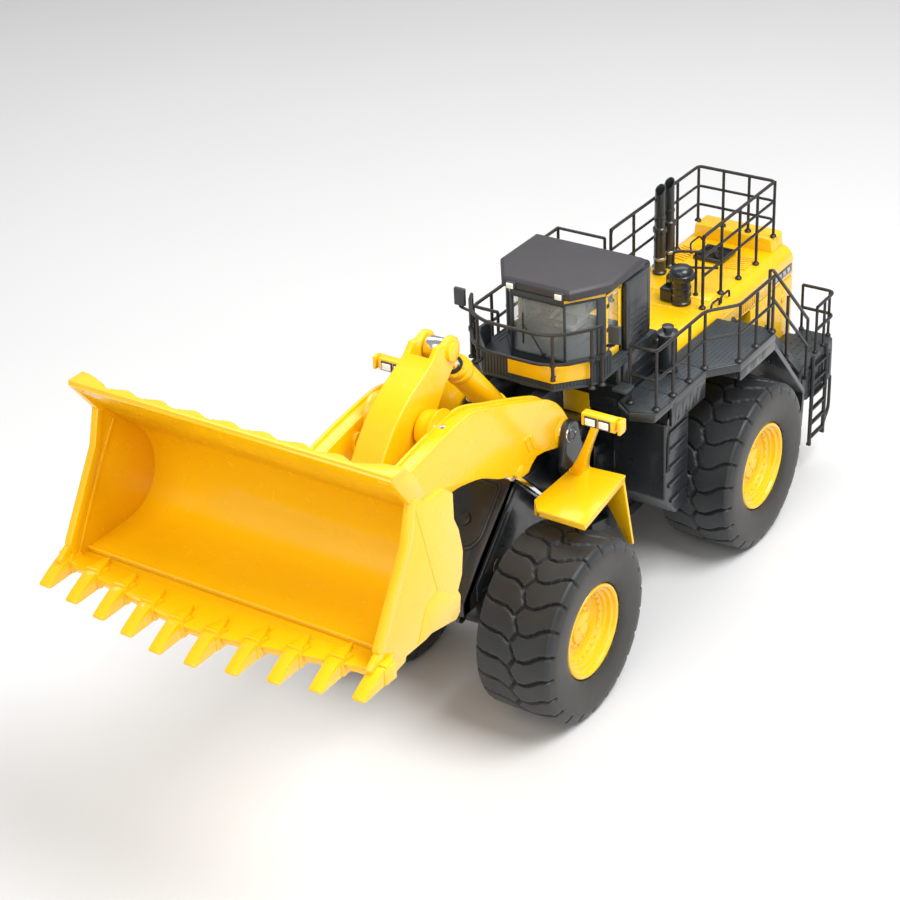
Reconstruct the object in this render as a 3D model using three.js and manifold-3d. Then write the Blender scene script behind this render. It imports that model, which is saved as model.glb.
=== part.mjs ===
// Toy wheel loader, 1:50 scale: an articulated mining loader with a Z-bar bucket linkage.
// Millimetres, +X towards the bucket, +Y the machine's left, +Z up.
// Every piece is drawn with the steering axis at x = 0, y = 0 and the ground at z = 0;
// the finished group is moved so that the middle of its footprint is the origin.
import * as THREE from 'three';
import { mergeVertices } from 'three/addons/utils/BufferGeometryUtils.js';
import Module from 'manifold-3d';

const wasm = await Module();
wasm.setup();
const { Manifold, Mesh: SolidMesh } = wasm;

// ---------- driving dimensions ----------
const GAP = 0.3;
const FINE = 0.5;

const axleX = 71;
const wheel = { radius: 36.4, halfWidth: 16.7, centreY: 39, rimRadius: 19.1, segments: 40 };
const axle = { pin: 3, bore: 3.3, bulge: 11, tube: 6.5, hub: 9, hubIn: 26, hubOut: 33.5, pinEnd: 44.2 };

// Linkage pivots as seen from the left side.
const boomPivot = { x: 37, z: 97 };
const bucketPivot = { x: 164, z: 117 };
const crankPivot = { x: 109, z: 130 };
const crankTop = { x: 88.5, z: 150.5 };
const crankFoot = { x: 148, z: 111 };
const bucketLinkPivot = { x: 166, z: 132.5 };
const tiltBase = { x: 47, z: 103.6 };
const liftBase = { x: 34, z: 60 };
const liftEye = { x: 69.4, z: 94 };

const armInner = 13.2;
const armOuter = 20.7;
const liftY = 16.9;
const lugOuter = 24.5;
const coreHalf = 12.6;
const crankHalf = 6.5;
const linkHalf = 3.5;

const bucket = { half: 62, plateIn: 61.8, plateOut: 64.2, floorFront: 211, cornerX: 217 };
const teeth = { count: 10, pitch: 14.2, rootBack: 15, halfWidth: 2.5 };

const deck = { top: 95, bottom: 90.5, railTop: 120, railMid: 107.5, inner: 24.8 };
const platform = { bottom: 111.5, floor: 113, kick: 122, railTop: 136.5, railMid: 124 };
const cab = { bottom: 113.3, top: 142.8, roofTop: 147.5 };
const hood = { half: 24.5, top: 97.5, low: 84, rearLow: 47, front: -36, rear: -157, sidePanelFront: -112 };
const hoodRail = { half: 18.5, rear: -147.5, leftFront: -81, rightFront: -69, heights: [112.4, 121.1, 130.3] };
const landing = { rear: -157, front: -122, inner: 29, outer: 46, top: 58, bottom: 37, railTop: 80 };
const railRadius = 0.95;
const steerPin = { radius: 3.5, bore: 3.8, lug: 8.5 };

// ---------- colours ----------
const paint = (color, roughness, metalness = 0) => new THREE.MeshStandardMaterial({ color, roughness, metalness });
const yellow = paint(0xf7c600, 0.35);
const slate = paint(0x45505a, 0.55);
const black = paint(0x26292b, 0.5);
const railPaint = paint(0x33302d, 0.5);
const rubber = paint(0x33363a, 0.75);
const glass = paint(0xb9c4c6, 0.1);
const chrome = paint(0xd0d3d6, 0.2, 0.9);
const grey = paint(0x8d918f, 0.6);
const lens = paint(0xf2f2ee, 0.2);

// ---------- solids ----------
function toSolid(geometry) {
  const bare = geometry.index ? geometry.toNonIndexed() : geometry.clone();
  bare.deleteAttribute('normal');
  bare.deleteAttribute('uv');
  const merged = mergeVertices(bare, 1e-4);
  return new Manifold(new SolidMesh({
    numProp: 3,
    vertProperties: new Float32Array(merged.attributes.position.array),
    triVerts: new Uint32Array(merged.index.array),
  }));
}

function toGeometry(solid) {
  const mesh = solid.getMesh();
  const geometry = new THREE.BufferGeometry();
  geometry.setAttribute('position', new THREE.BufferAttribute(new Float32Array(mesh.vertProperties), 3));
  geometry.setIndex(new THREE.BufferAttribute(new Uint32Array(mesh.triVerts), 1));
  return geometry;
}

const join = (...solids) => solids.flat(Infinity).reduce((a, b) => a.add(b));
const cut = (solid, ...tools) => tools.flat(Infinity).reduce((a, b) => a.subtract(b), solid);

function mirrored(solid) {
  const geometry = toGeometry(solid);
  geometry.scale(1, -1, 1);
  const index = geometry.index.array;
  for (let i = 0; i < index.length; i += 3) {
    [index[i], index[i + 1]] = [index[i + 1], index[i]];
  }
  return toSolid(geometry);
}

const X = new THREE.Vector3(1, 0, 0);
const Y = new THREE.Vector3(0, 1, 0);
const Z = new THREE.Vector3(0, 0, 1);

function extrude(points, depth, basis, shift) {
  const shape = new THREE.Shape(points.map(([u, v]) => new THREE.Vector2(u, v)));
  const geometry = new THREE.ExtrudeGeometry(shape, { depth, bevelEnabled: false });
  geometry.applyMatrix4(basis);
  geometry.translate(...shift);
  return toSolid(geometry);
}

// Outline in x and z, seen from the right, as thick as y0 to y1.
function side(points, y0, y1) {
  return extrude(points, y1 - y0, new THREE.Matrix4().makeBasis(X, Z, Y.clone().negate()), [0, y1, 0]);
}

// Outline in x and y, from z0 up to z1.
function plan(points, z0, z1) {
  return extrude(points, z1 - z0, new THREE.Matrix4(), [0, 0, z0]);
}

// Outline in y and z, from x0 to x1.
function section(points, x0, x1) {
  return extrude(points, x1 - x0, new THREE.Matrix4().makeBasis(Y, Z, X), [x0, 0, 0]);
}

function block(x0, x1, y0, y1, z0, z1) {
  const geometry = new THREE.BoxGeometry(x1 - x0, y1 - y0, z1 - z0);
  geometry.translate((x0 + x1) / 2, (y0 + y1) / 2, (z0 + z1) / 2);
  return toSolid(geometry);
}

function bar(from, to, radius, segments = 4, endRadius = radius) {
  const a = new THREE.Vector3(...from);
  const b = new THREE.Vector3(...to);
  const length = a.distanceTo(b);
  const geometry = new THREE.CylinderGeometry(endRadius, radius, length, segments);
  geometry.applyQuaternion(new THREE.Quaternion().setFromUnitVectors(Y, b.clone().sub(a).normalize()));
  geometry.translate(...a.add(b).multiplyScalar(0.5).toArray());
  return toSolid(geometry);
}

const pinY = (at, radius, y0, y1, segments = 12) => bar([at.x, y0, at.z], [at.x, y1, at.z], radius, segments);

// Bars along a route of corner points, each run a little longer so that the corners close.
function rail(points, radius = railRadius) {
  return points.slice(1).map((to, i) => {
    const a = new THREE.Vector3(...points[i]);
    const b = new THREE.Vector3(...to);
    const reach = b.clone().sub(a).setLength(radius * FINE);
    return bar(a.sub(reach).toArray(), b.add(reach).toArray(), radius);
  });
}

const post = (x, y, z0, z1, radius = railRadius) => bar([x, y, z0], [x, y, z1], radius);

function lathe(profile, segments) {
  return new THREE.LatheGeometry(profile.map(([r, y]) => new THREE.Vector2(r, y)), segments);
}

function arc(centre, radius, from, to, steps) {
  const points = [];
  for (let i = 0; i <= steps; i += 1) {
    const angle = THREE.MathUtils.degToRad(from + (to - from) * i / steps);
    points.push([centre.x + radius * Math.cos(angle), centre.z + radius * Math.sin(angle)]);
  }
  return points;
}

// A plan outline made symmetric from its left half.
const bothSides = (half) => [...half, ...half.map(([x, y]) => [x, -y]).reverse()];

// A straight strap in the x-z plane with round ends.
function strap(a, b, radiusA, radiusB) {
  const angle = THREE.MathUtils.radToDeg(Math.atan2(b.z - a.z, b.x - a.x));
  return [...arc(a, radiusA, angle + 90, angle + 270, 8), ...arc(b, radiusB, angle - 90, angle + 90, 8)];
}

function towards(from, to, distance) {
  const length = Math.hypot(to.x - from.x, to.z - from.z);
  return { x: from.x + (to.x - from.x) * distance / length, z: from.z + (to.z - from.z) * distance / length };
}

// ---------- the machine ----------
const machine = new THREE.Group();

function add(name, solid, material) {
  const mesh = new THREE.Mesh(toGeometry(solid), material);
  mesh.name = name;
  machine.add(mesh);
  return mesh;
}

function addPair(name, left, material) {
  add(`${name}_left`, left, material);
  add(`${name}_right`, mirrored(left), material);
}

// Wheels: a tyre on a dished rim with a closed hub, turned on the axle's pin.
function tyre() {
  const { radius, halfWidth, rimRadius, segments } = wheel;
  const bead = rimRadius + GAP;
  const half = [[bead, halfWidth - 2.2], [bead + 6, halfWidth], [radius - 3.2, halfWidth - FINE], [radius, halfWidth - 3.1]];
  const other = half.map(([r, y]) => [r, -y]).reverse();
  const profile = [...half, ...other, half[0]].reverse();
  return toSolid(lathe(profile, segments));
}

function rim() {
  const { rimRadius } = wheel;
  const profile = [[0, 5.5], [axle.bore, 5.5], [axle.bore, -4], [6.5, -4], [6.5, 2.5], [15.2, 2.5], [16.5, -14.3],
    [rimRadius, -14.3], [rimRadius, 14.3], [17.4, 14.3], [14.5, 7], [6.4, 7], [5.8, 10.2], [0, 10.2]];
  return toSolid(lathe(profile, 24));
}

function addWheel(name, x, sideSign) {
  const holder = new THREE.Group();
  holder.position.set(x, sideSign * wheel.centreY, wheel.radius);
  holder.rotation.x = sideSign > 0 ? 0 : Math.PI;
  [['tyre', tyre(), rubber], ['rim', rim(), yellow]].forEach(([part, solid, colour]) => {
    const mesh = new THREE.Mesh(toGeometry(solid), colour);
    mesh.name = `${part}_${name}`;
    holder.add(mesh);
  });
  machine.add(holder);
}

const corners = [['front_left', axleX, 1], ['front_right', axleX, -1], ['rear_left', -axleX, 1], ['rear_right', -axleX, -1]];
corners.forEach(([name, x, sideSign]) => addWheel(name, x, sideSign));

// Axle casing with a differential bulge and a pin for each wheel; grown by a clearance it also cuts its own bed.
function axleCasing(x, grow = 0) {
  const half = [[axle.bulge + grow, 7], [axle.tube + grow, 12 + grow], [axle.tube + grow, axle.hubIn - 2 - grow],
    [axle.hub + grow, axle.hubIn - grow], [axle.hub + grow, axle.hubOut + grow], [axle.pin + grow, axle.hubOut + grow],
    [axle.pin + grow, axle.pinEnd], [0, axle.pinEnd]];
  const profile = [...half.map(([r, y]) => [r, -y]).reverse(), ...half];
  const geometry = lathe(profile, 16);
  geometry.translate(x, 0, wheel.radius);
  return toSolid(geometry);
}

const frontPads = [1, -1].map((s) => block(64, 78, s > 0 ? 13 : -20, s > 0 ? 20 : -13, 38, 44));
add('front_axle', join(axleCasing(axleX), frontPads), black);

const trunnion = { radius: 4, reach: 16.5, hanger: 3 };
const swingPin = bar([-axleX - trunnion.reach, 0, wheel.radius], [-axleX + trunnion.reach, 0, wheel.radius], trunnion.radius, 12);
add('rear_axle', join(axleCasing(-axleX), swingPin), black);

// Front frame: a narrow core that carries the axle, the boom's tower and the steering lugs.
const steerLug = (z0, z1, reach) => join(
  bar([0, 0, z0], [0, 0, z1], steerPin.lug, 12),
  block(Math.min(0, reach), Math.max(0, reach), -steerPin.lug, steerPin.lug, z0, z1),
);
const steerBore = (z0, z1) => bar([0, 0, z0], [0, 0, z1], steerPin.bore, 12);

const coreOutline = [[14, 24], [46, 24], [52, 30], [58, 38], [97, 38], [97, 50], [80, 60], [61, 86], [53.5, 97],
  [53.5, 107], [50, 110.2], [28, 110.2], [23, 104], [22, 88], [14, 78]];
const lugOutline = [...arc(boomPivot, 5.8, 180, 0, 7), [42, 84], [36, 70], [28, 64], [19, 64], [19, 84], [27.5, 84]];
const sideLug = (s) => side(lugOutline, s > 0 ? armOuter + GAP : -lugOuter, s > 0 ? lugOuter : -armOuter - GAP);
const tiltSlot = block(36, 80, -crankHalf - 0.4, crankHalf + 0.4, 95.5, 120);
const trunnionHoles = [1, -1].map((s) => pinY(liftBase, 3.1, s > 0 ? 9.2 : -14, s > 0 ? 14 : -9.2));
const frontFrame = join(
  cut(side(coreOutline, -coreHalf, coreHalf), tiltSlot, trunnionHoles),
  sideLug(1),
  sideLug(-1),
  block(19, 27, -lugOuter, lugOuter, 64, 84),
  steerLug(66, 72, 16),
  steerLug(30, 36, 16),
  pinY(tiltBase, 2.4, -coreHalf + 1, coreHalf - 1),
);
const boomPins = [1, -1].map((s) => [
  pinY(boomPivot, 3.5, s > 0 ? 9.4 : -25, s > 0 ? 25 : -9.4),
  pinY(boomPivot, 5, s > 0 ? 24 : -25.6, s > 0 ? 25.6 : -24),
]);
add('front_frame', join(cut(frontFrame, steerBore(20, 90), axleCasing(axleX, 0.4)), boomPins), black);

// Front fenders, each with a sloping post and a lamp box.
const fenderTop = [[66.4, 25.5], [71.6, 29.6], [71.9, 50.5], [33, 46], [34.6, 25.5]];
const fenderPlate = section([[25.5, 82.5], [45.8, 82.5], [50, 54], [46.5, 54], [40, 66], [33, 80.9], [25.5, 80.9]], 33.6, 35.2);
const lampBox = { x0: 48.2, x1: 53, y0: 38.2, y1: 55, z0: 111.5, z1: 117.6 };
const fender = join(
  plan(fenderTop, 81.4, 83),
  fenderPlate,
  block(34, 66, 24.9, 26.2, 76, 83),
  bar([38.5, 28, 82], [49.5, 43, 113], 2.1, 8),
  block(lampBox.x0, lampBox.x1, lampBox.y0, lampBox.y1, lampBox.z0, lampBox.z1),
);
addPair('front_fender', fender, yellow);
addPair('headlamp', block(lampBox.x1 + GAP, lampBox.x1 + 1.3, 39.6, 50.6, 112.7, 116.6), lens);

// Boom: two arms joined by a cross tube, with stubs that hold the bellcrank between them.
const armOutline = [...arc(boomPivot, 8, 250, 130, 5), [37.4, 108.5], [45, 109.2], [48.6, 114.2], [68.8, 123.9],
  [91.8, 132.4], [104, 135.4], [117.4, 135], [136.1, 130.4], [152, 126.6], ...arc(bucketPivot, 7, 80, -80, 6),
  [150, 108], [130, 108.4], [111.5, 109.1], [100, 106.4], [80.3, 98.8], [75, 95.2], ...arc(liftEye, 5.4, -30, -150, 4),
  [56, 95], [47, 93]];
const armSlot = side([...arc(liftEye, 7, 80, 0, 3), [liftEye.x + 7, 84], [liftEye.x - 17, 84], [liftEye.x - 11, 92],
  ...arc(liftEye, 6, 180, 110, 2)], 14.6, 19.2);
const leftArm = join(
  cut(side(armOutline, armInner, armOuter), armSlot),
  pinY(crankPivot, 6.5, crankHalf + GAP, armInner + FINE, 12),
);
const crossTube = pinY({ x: 97, z: 113 }, 4.5, -armInner - FINE, armInner + FINE, 12);
const boomBores = [
  pinY(boomPivot, 3.8, -30, 30),
  pinY(bucketPivot, 3.3, -30, 30),
  pinY(crankPivot, 3.3, -17, 17),
];
add('boom', cut(join(leftArm, mirrored(leftArm), crossTube), boomBores), yellow);
add('bellcrank_pin', pinY(crankPivot, 3, -16.6, 16.6), chrome);

// Bellcrank: forked at the top for the tilt cylinder and at the foot for the bucket link.
const crankOutline = [...arc(crankTop, 5.4, 250, 20, 7), [106, 143.5], [114, 140.6], [124, 133.6], [138, 121.8], ...arc(crankFoot, 5.2, 50, -120, 6),
  [133, 112], [118, 120.5], ...arc(crankPivot, 8.5, -70, -140, 4), [95, 131], [88, 139]];
const topSlot = side([[78, 139], [84, 139], [95, 144], [99, 152], [94, 160], [78, 160]], -3.9, 3.9);
const footSlot = side([[141, 100], [141, 119], [147, 125], [162, 125], [162, 100]], -3.9, 3.9);
const crank = join(
  cut(side(crankOutline, -crankHalf, crankHalf), topSlot, footSlot),
  pinY(crankFoot, 2, -crankHalf, crankHalf, 12),
  pinY(crankTop, 3.6, crankHalf - FINE, crankHalf + 1.4),
  pinY(crankTop, 3.6, -crankHalf - 1.4, -crankHalf + FINE),
);
add('bellcrank', cut(crank, pinY(crankPivot, 3.3, -10, 10)), yellow);

const linkBody = side(strap(crankFoot, bucketLinkPivot, 4.2, 3.9), -linkHalf, linkHalf);
add('bucket_link', cut(linkBody, pinY(crankFoot, 2.3, -10, 10, 16)), yellow);

// Hydraulic cylinders. The tilt cylinder's barrel turns on the front frame; each lift barrel has a side trunnion.
const tiltRod = { eye: 4.2, radius: 2.5, length: 42, barrelStart: 4, barrelEnd: 47, barrelRadius: 5.6 };
const along = (from, to, d0, d1, radius, y, segments = 12) => {
  const a = towards(from, to, d0);
  const b = towards(from, to, d1);
  return bar([a.x, y, a.z], [b.x, y, b.z], radius, segments);
};
add('tilt_barrel', cut(
  join(
    pinY(tiltBase, 4.8, -5.5, 5.5, 12),
    along(tiltBase, crankTop, tiltRod.barrelStart, tiltRod.barrelEnd, tiltRod.barrelRadius, 0),
  ),
  pinY(tiltBase, 2.8, -8, 8),
  along(tiltBase, crankTop, 12, tiltRod.barrelEnd + 1, tiltRod.radius + GAP, 0),
), yellow);
add('tilt_rod', join(
  pinY(crankTop, tiltRod.eye, -linkHalf, linkHalf, 12),
  along(crankTop, tiltBase, 2, tiltRod.length, tiltRod.radius, 0),
), chrome);

const lift = { back: -23, front: 17, radius: 3.7, rod: 1.9, rodLength: 47, eye: 3.9, eyeHalf: 1.9 };
const liftBarrel = cut(
  join(
    along(liftBase, liftEye, lift.back, lift.front, lift.radius, liftY, 12),
    pinY(liftBase, 2.8, 9.6, liftY - 2.4, 12),
  ),
  along(liftBase, liftEye, lift.back + 1.6, lift.front + 1, lift.rod + GAP, liftY, 12),
);
const liftRod = join(
  pinY(liftEye, lift.eye, liftY - lift.eyeHalf, liftY + lift.eyeHalf, 12),
  along(liftEye, liftBase, 1, lift.rodLength, lift.rod, liftY, 12),
);
addPair('lift_barrel', liftBarrel, black);
addPair('lift_rod', liftRod, chrome);

// Bucket: a rolled shell with a sloping spill guard, two side plates and pivot lugs on its back.
const shellInside = [[bucket.floorFront, 114.6], [187, 115], [180.5, 117.6], [175.8, 122.6], [173.6, 129.6], [174.6, 137.4],
  [178.4, 144.4], [184, 150.4], [197.4, 163.8], [208, 174.6]];
const shellOutside = [[206.4, 176.4], [181.6, 152.2], [176, 146.2], [172, 138.8], [170.9, 129.4], [173.2, 121], [178.6, 114.2],
  [186, 111], [bucket.floorFront, 110.4]];
const platePoints = [[bucket.cornerX, 107], [bucket.cornerX, 119.7], [219.4, 120], [201.4, 149], [197.6, 163.6], [191, 160.6], [182, 158.2],
  [176, 153.4], [174.2, 145], [171.2, 138.6], [170.6, 130.4], [171.6, 122.4], [174, 115.4], [175, 108.4], [178, 107],
  [190, 109.8], [205, 109.8], [206.4, 107.6], [210, 107]];
const hingeLug = side([...arc(bucketPivot, 6.2, 100, 260, 5), [178, 110], [176, 127]], 21, 23.6);
const innerHingeLug = side([...arc(bucketPivot, 6.2, 100, 260, 5), [178, 110], [176, 127]], 10.4, 12.9);
const linkLug = side([...arc(bucketLinkPivot, 4.6, 80, 250, 5), [173, 128], [174, 137.5]], 4, 6.6);
const leftHalf = join(
  side(platePoints, bucket.plateIn, bucket.plateOut),
  hingeLug,
  innerHingeLug,
  linkLug,
  pinY(bucketPivot, 3, 12, 22),
  pinY(bucketLinkPivot, 2.6, 6, 7.8, 12),
);
add('bucket', join(side([...shellInside, ...shellOutside], -bucket.half, bucket.half), leftHalf, mirrored(leftHalf)), yellow);

// Cutting edge: a spade-shaped plate with ten teeth, the middle ones furthest forward.
const tipX = (y) => 244.4 - 0.2 * Math.abs(y);
const edgePlate = plan(bothSides([[230.4, 6], [219.4, bucket.plateOut], [bucket.floorFront + GAP, bucket.plateOut]]), 110.8, 113.8);
const cheek = side([[bucket.cornerX + GAP, 110.8], [222.6, 110.8], [224.5, 116.4], [219.6, 119.4], [bucket.cornerX + GAP, 119.2]],
  bucket.plateIn, bucket.plateOut);
function tooth(y) {
  const tip = tipX(y);
  const back = tip - teeth.rootBack;
  const outline = [[back - 4, 113], [back - 4, 115.4], [back + 3, 115.8], [tip, 110.4], [tip, 109.2], [back + 4, 108.4],
    [back - 2, 109.2]];
  return side(outline, y - teeth.halfWidth, y + teeth.halfWidth);
}
const toothRow = Array.from({ length: teeth.count }, (_, i) => tooth((i - (teeth.count - 1) / 2) * teeth.pitch));
const plateRoom = block(190, bucket.cornerX + GAP, bucket.plateIn - GAP, 70, 100, 125);
add('cutting_edge', cut(join(edgePlate, toothRow, cheek, mirrored(cheek)), plateRoom, mirrored(plateRoom)), yellow);

// Rear frame: the chassis with its steering lugs, the counterweight and the bonnet above it.
const chassisOutline = [[-14, 24], [-50, 24], [-56, 30], [-56, 50], [-86, 50], [-86, 30], [-92, 27], [-138, 38], [-138, 83.7],
  [-14, 83.7]];
const chassisHalf = 15.5;
add('rear_chassis', cut(
  join(
    side(chassisOutline, -chassisHalf, chassisHalf),
    [[73, 78], [60, 65], [37, 42], [24, 29]].map(([z0, z1]) => steerLug(z0, z1, -16)),
  ),
  steerBore(20, 90),
  bar([-axleX - trunnion.reach - FINE, 0, wheel.radius], [-axleX + trunnion.reach + FINE, 0, wheel.radius],
    trunnion.radius + GAP, 12),
), black);
add('articulation_pin', join(bar([0, 0, 23], [0, 0, 79], steerPin.radius, 12), bar([0, 0, 78.3], [0, 0, 80.5], 6, 12)), chrome);

const roundTop = (half, top, low, radius) => {
  const right = arc({ x: half - radius, z: top - radius }, radius, 0, 90, 4);
  const left = arc({ x: radius - half, z: top - radius }, radius, 90, 180, 4);
  return [[half, low], ...right, ...left, [-half, low]];
};
const humpRear = -145;
add('counterweight', join(
  block(hood.rear, -138.3, -hood.half, hood.half, 40, 83.7),
  block(-138.4, -115, -hood.half, -chassisHalf - GAP, hood.rearLow, 83.7),
  block(-138.4, -115, chassisHalf + GAP, hood.half, hood.rearLow, 83.7),
), yellow);

const stackX = [-103.5, -111.8];
const stackY = -14;
const cleanerAt = { x: -81.7, y: 8.1 };
const hatch = { x0: -137, x1: -123, y0: -8, y1: 6 };
const vents = Array.from({ length: 6 }, (_, i) => block(-134 + 3.4 * i, -132.6 + 3.4 * i, hood.half - FINE, hood.half + 1, 87, 94));
add('hood', cut(
  join(
    section(roundTop(hood.half, hood.top, hood.low, 6), hood.rear + 0.8, hood.front),
    section([[-19.5, 97], [19.5, 97], [18.5, 104], [-18.5, 104]], hood.rear + 1.4, humpRear),
  ),
  vents,
  vents.map(mirrored),
), yellow);
const slats = Array.from({ length: 6 }, (_, i) => block(hatch.x0 + 1.6 + 2 * i, hatch.x0 + 2.6 + 2 * i, hatch.y0 + 1.5,
  hatch.y1 - 1.5, 98.6, 101));
add('hood_hatch', cut(block(hatch.x0, hatch.x1, hatch.y0, hatch.y1, hood.top + GAP, 99.6), slats), black);

stackX.forEach((x, i) => {
  add(`exhaust_${i + 1}`, join(
    bar([x, stackY, hood.top + GAP], [x, stackY, 118], 2.6, 12),
    bar([x, stackY, 117], [x, stackY, 119.4], 3.1, 12),
    cut(bar([x, stackY, 118], [x, stackY, 138.5], 2.2, 12),
      side([[x - 4, 132], [x + 4, 138.5], [x + 4, 142], [x - 4, 142]], stackY - 4, stackY + 4)),
  ), black);
});

add('precleaner', join(
  bar([cleanerAt.x, cleanerAt.y, hood.top + GAP], [cleanerAt.x, cleanerAt.y, 108.6], 3.9, 12),
  bar([cleanerAt.x, cleanerAt.y, 108], [cleanerAt.x, cleanerAt.y, 112.6], 5.5, 12),
  bar([cleanerAt.x, cleanerAt.y, 112.4], [cleanerAt.x, cleanerAt.y, 115], 5.3, 20, 3),
  block(cleanerAt.x - 5, cleanerAt.x + 3, cleanerAt.y - 9, cleanerAt.y, hood.top + GAP, 104),
), black);

// Guard rail along the top of the bonnet, with a step up over the rear hump.
function hoodRailSide(s, frontX) {
  const y = s * hoodRail.half;
  const runs = hoodRail.heights.map((z) => rail([[frontX, y, z], [hoodRail.rear, y, z]]));
  const span = hoodRail.rear - frontX;
  const count = 4;
  const uprights = Array.from({ length: count + 1 }, (_, i) => {
    const x = frontX + span * i / count;
    return post(x, y, i === count ? 104 + GAP : hood.top + GAP, hoodRail.heights[2] + railRadius * FINE);
  });
  return [...runs, uprights];
}
const rearRun = hoodRail.heights.map((z) => rail([[hoodRail.rear, -hoodRail.half, z], [hoodRail.rear, hoodRail.half, z]]));
add('hood_rail', join([
  hoodRailSide(1, hoodRail.leftFront),
  hoodRailSide(-1, hoodRail.rightFront),
  rearRun,
  post(hoodRail.rear, 0, 104 + GAP, hoodRail.heights[2]),
]), railPaint);

// Walkways beside the bonnet and the cab.
const deckOutline = [[2, deck.inner], [8.2, 33], [4.6, 42.9], [-38, 42.9], [-49.7, 52.3], [-82, 52.3], [-82, deck.inner]];
const deckSkirt = join(
  block(-38, -9.5, 41.2, 42.7, 82, deck.bottom + FINE),
  side([[-50, 86], [-82, 86], [-82, 91], [-50, 91]], 50.6, 52.1),
);
addPair('deck', join(plan(deckOutline, deck.bottom, deck.top), deckSkirt), slate);

// Rail posts along a run of plan points, with a top and a middle bar.
function railing(points, posts, foot, top, mid) {
  const level = (z) => rail(points.map(([x, y]) => [x, y, z]));
  return [...level(top), ...level(mid), ...posts.map(([x, y]) => post(x, y, foot + GAP, top + railRadius * FINE))];
}
const deckRoute = [[1.5, 30], [1.5, 41.6], [-38.5, 41.6], [-50.4, 51], [-80.5, 51]];
const deckPosts = [[1.5, 30], [1.5, 41.6], [-12, 41.6], [-25.5, 41.6], [-38.5, 41.6], [-50.4, 51], [-65.5, 51], [-80.5, 51]];
const deckRail = railing(deckRoute, deckPosts, deck.top, deck.railTop, deck.railMid);
const rightEnd = [deck.railTop, deck.railMid].map((z) => rail([[-80.5, -51, z], [-80.5, -28, z]]));
add('deck_rail_left', join(deckRail), railPaint);
add('deck_rail_right', join([mirrored(join(deckRail)), rightEnd, post(-80.5, -28, deck.top + GAP, deck.railTop)]), railPaint);

// Mudguards follow the back of each rear tyre.
const guardOutline = [[-50, 86.5], [-50, 90.2], [-83, 90.2], [-118, 50], [-116, 32], [-114, 32], [-115.6, 49.4], [-82.2, 87.8],
  [-52, 87.8], [-51.4, 86.5]];
addPair('rear_mudguard', side(guardOutline, deck.inner, 50.2), slate);

// Tanks hang under the walkway between the wheels.
const tank = join(
  block(-30, -9.5, chassisHalf + GAP, 40, 36, 82),
  block(-28, -11, 25, 40, 81, deck.bottom - GAP),
  ...Array.from({ length: 5 }, (_, i) => block(-27, -12.5, 39, 40.8, 42 + 8 * i, 43.6 + 8 * i)),
);
addPair('side_tank', tank, black);

// Stairs down to the rear landing on the left, with a ladder below it.
const stair = { topX: -86, topZ: 92.8, footX: -122, footZ: 57, steps: 7 };
const treads = Array.from({ length: stair.steps }, (_, i) => {
  const t = (i + FINE) / stair.steps;
  const x = stair.topX + (stair.footX - stair.topX) * t;
  const z = stair.topZ + (stair.footZ - stair.topZ) * t;
  return block(x - 2.4, x + 2.4, 30, 45, z - FINE, z + FINE);
});
const stringer = (y) => side([[stair.topX + 3.6, stair.topZ + 2.5], [stair.topX + 3.6, stair.topZ - 1.4], [stair.footX + 2, stair.footZ - 3],
  [stair.footX - 2, stair.footZ - 3], [stair.footX - 2, stair.footZ + 2.5], [stair.topX, stair.topZ + 2.5]], y, y + 1.4);
const rung = (i) => block(-146, -134, 44.6, 47.4, 16.5 + 7 * i, 17.7 + 7 * i);
add('rear_stairs', join(
  block(landing.rear, landing.front, landing.inner, landing.outer, landing.top - 2.5, landing.top),
  block(landing.rear, landing.front, hood.half + GAP, landing.inner + 1.4, 40, landing.top),
  block(landing.rear, landing.rear + 1.4, landing.inner, landing.outer, landing.bottom, landing.top),
  block(landing.front - 1.4, landing.front, landing.inner, landing.outer, landing.bottom + 4, landing.top),
  block(-132, landing.front, landing.outer - 1.4, landing.outer, landing.bottom + 4, landing.top),
  block(landing.rear, -148, landing.outer - 1.4, landing.outer, landing.bottom, landing.top),
  stringer(29.2),
  stringer(44.6),
  treads,
  block(-147.2, -145.6, 44.6, 46.4, 14, landing.top),
  block(-134.4, -132.8, 44.6, 46.4, 14, landing.top),
  [0, 1, 2, 3].map(rung),
), slate);
const handrail = (y) => [[120, 81], [107.5, 68.5]].map(([z0, z1]) => rail([[-84.4, y, z0], [-122, y, z1], [-124, y, z1]]));
const stairPosts = (y) => [[-84.4, 92, 120], [-103, 72, 101], [-124, 52, 81]].map(([x, foot, top]) => post(x, y, foot, top));
const landingRoute = [[-138, 45.2], [-155.8, 45.2], [-155.8, 30]];
add('stair_rail', join(handrail(47.3), stairPosts(47.3)), railPaint);
add('landing_rail', join(railing(landingRoute, [...landingRoute, [-146, 45.2]], landing.top, landing.railTop, 69)), railPaint);

// Cab: a pedestal and a ribbed platform carry an eight-sided cabin with a flat roof.
add('cab_pedestal', join(
  block(-35.6, -4, -hood.half, hood.half, 84, 111.2),
  side([[-4.5, 96], [12, 107], [12, 111.2], [-4.5, 111.2]], -16, -13),
  side([[-4.5, 96], [12, 107], [12, 111.2], [-4.5, 111.2]], 13, 16),
), black);
const platformHalf = [[35.6, 15.8], [24.6, 25.8], [19.6, 28.2], [-3, 28.2], [-3, 24.8], [-22, 24.8]];
const inset = (half, d) => half.map(([x, y]) => [x - d, y - d]);
const platformFloor = plan(bothSides(platformHalf), platform.bottom, platform.floor);
const kickHalf = platformHalf.slice(0, 3);
const kick = cut(
  plan(bothSides([...kickHalf, [12, 28.2]]), platform.floor - FINE, platform.kick),
  plan(bothSides([...inset(kickHalf, 1.6), [0, 26.6]]), platform.floor, platform.kick + 1),
);
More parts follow.
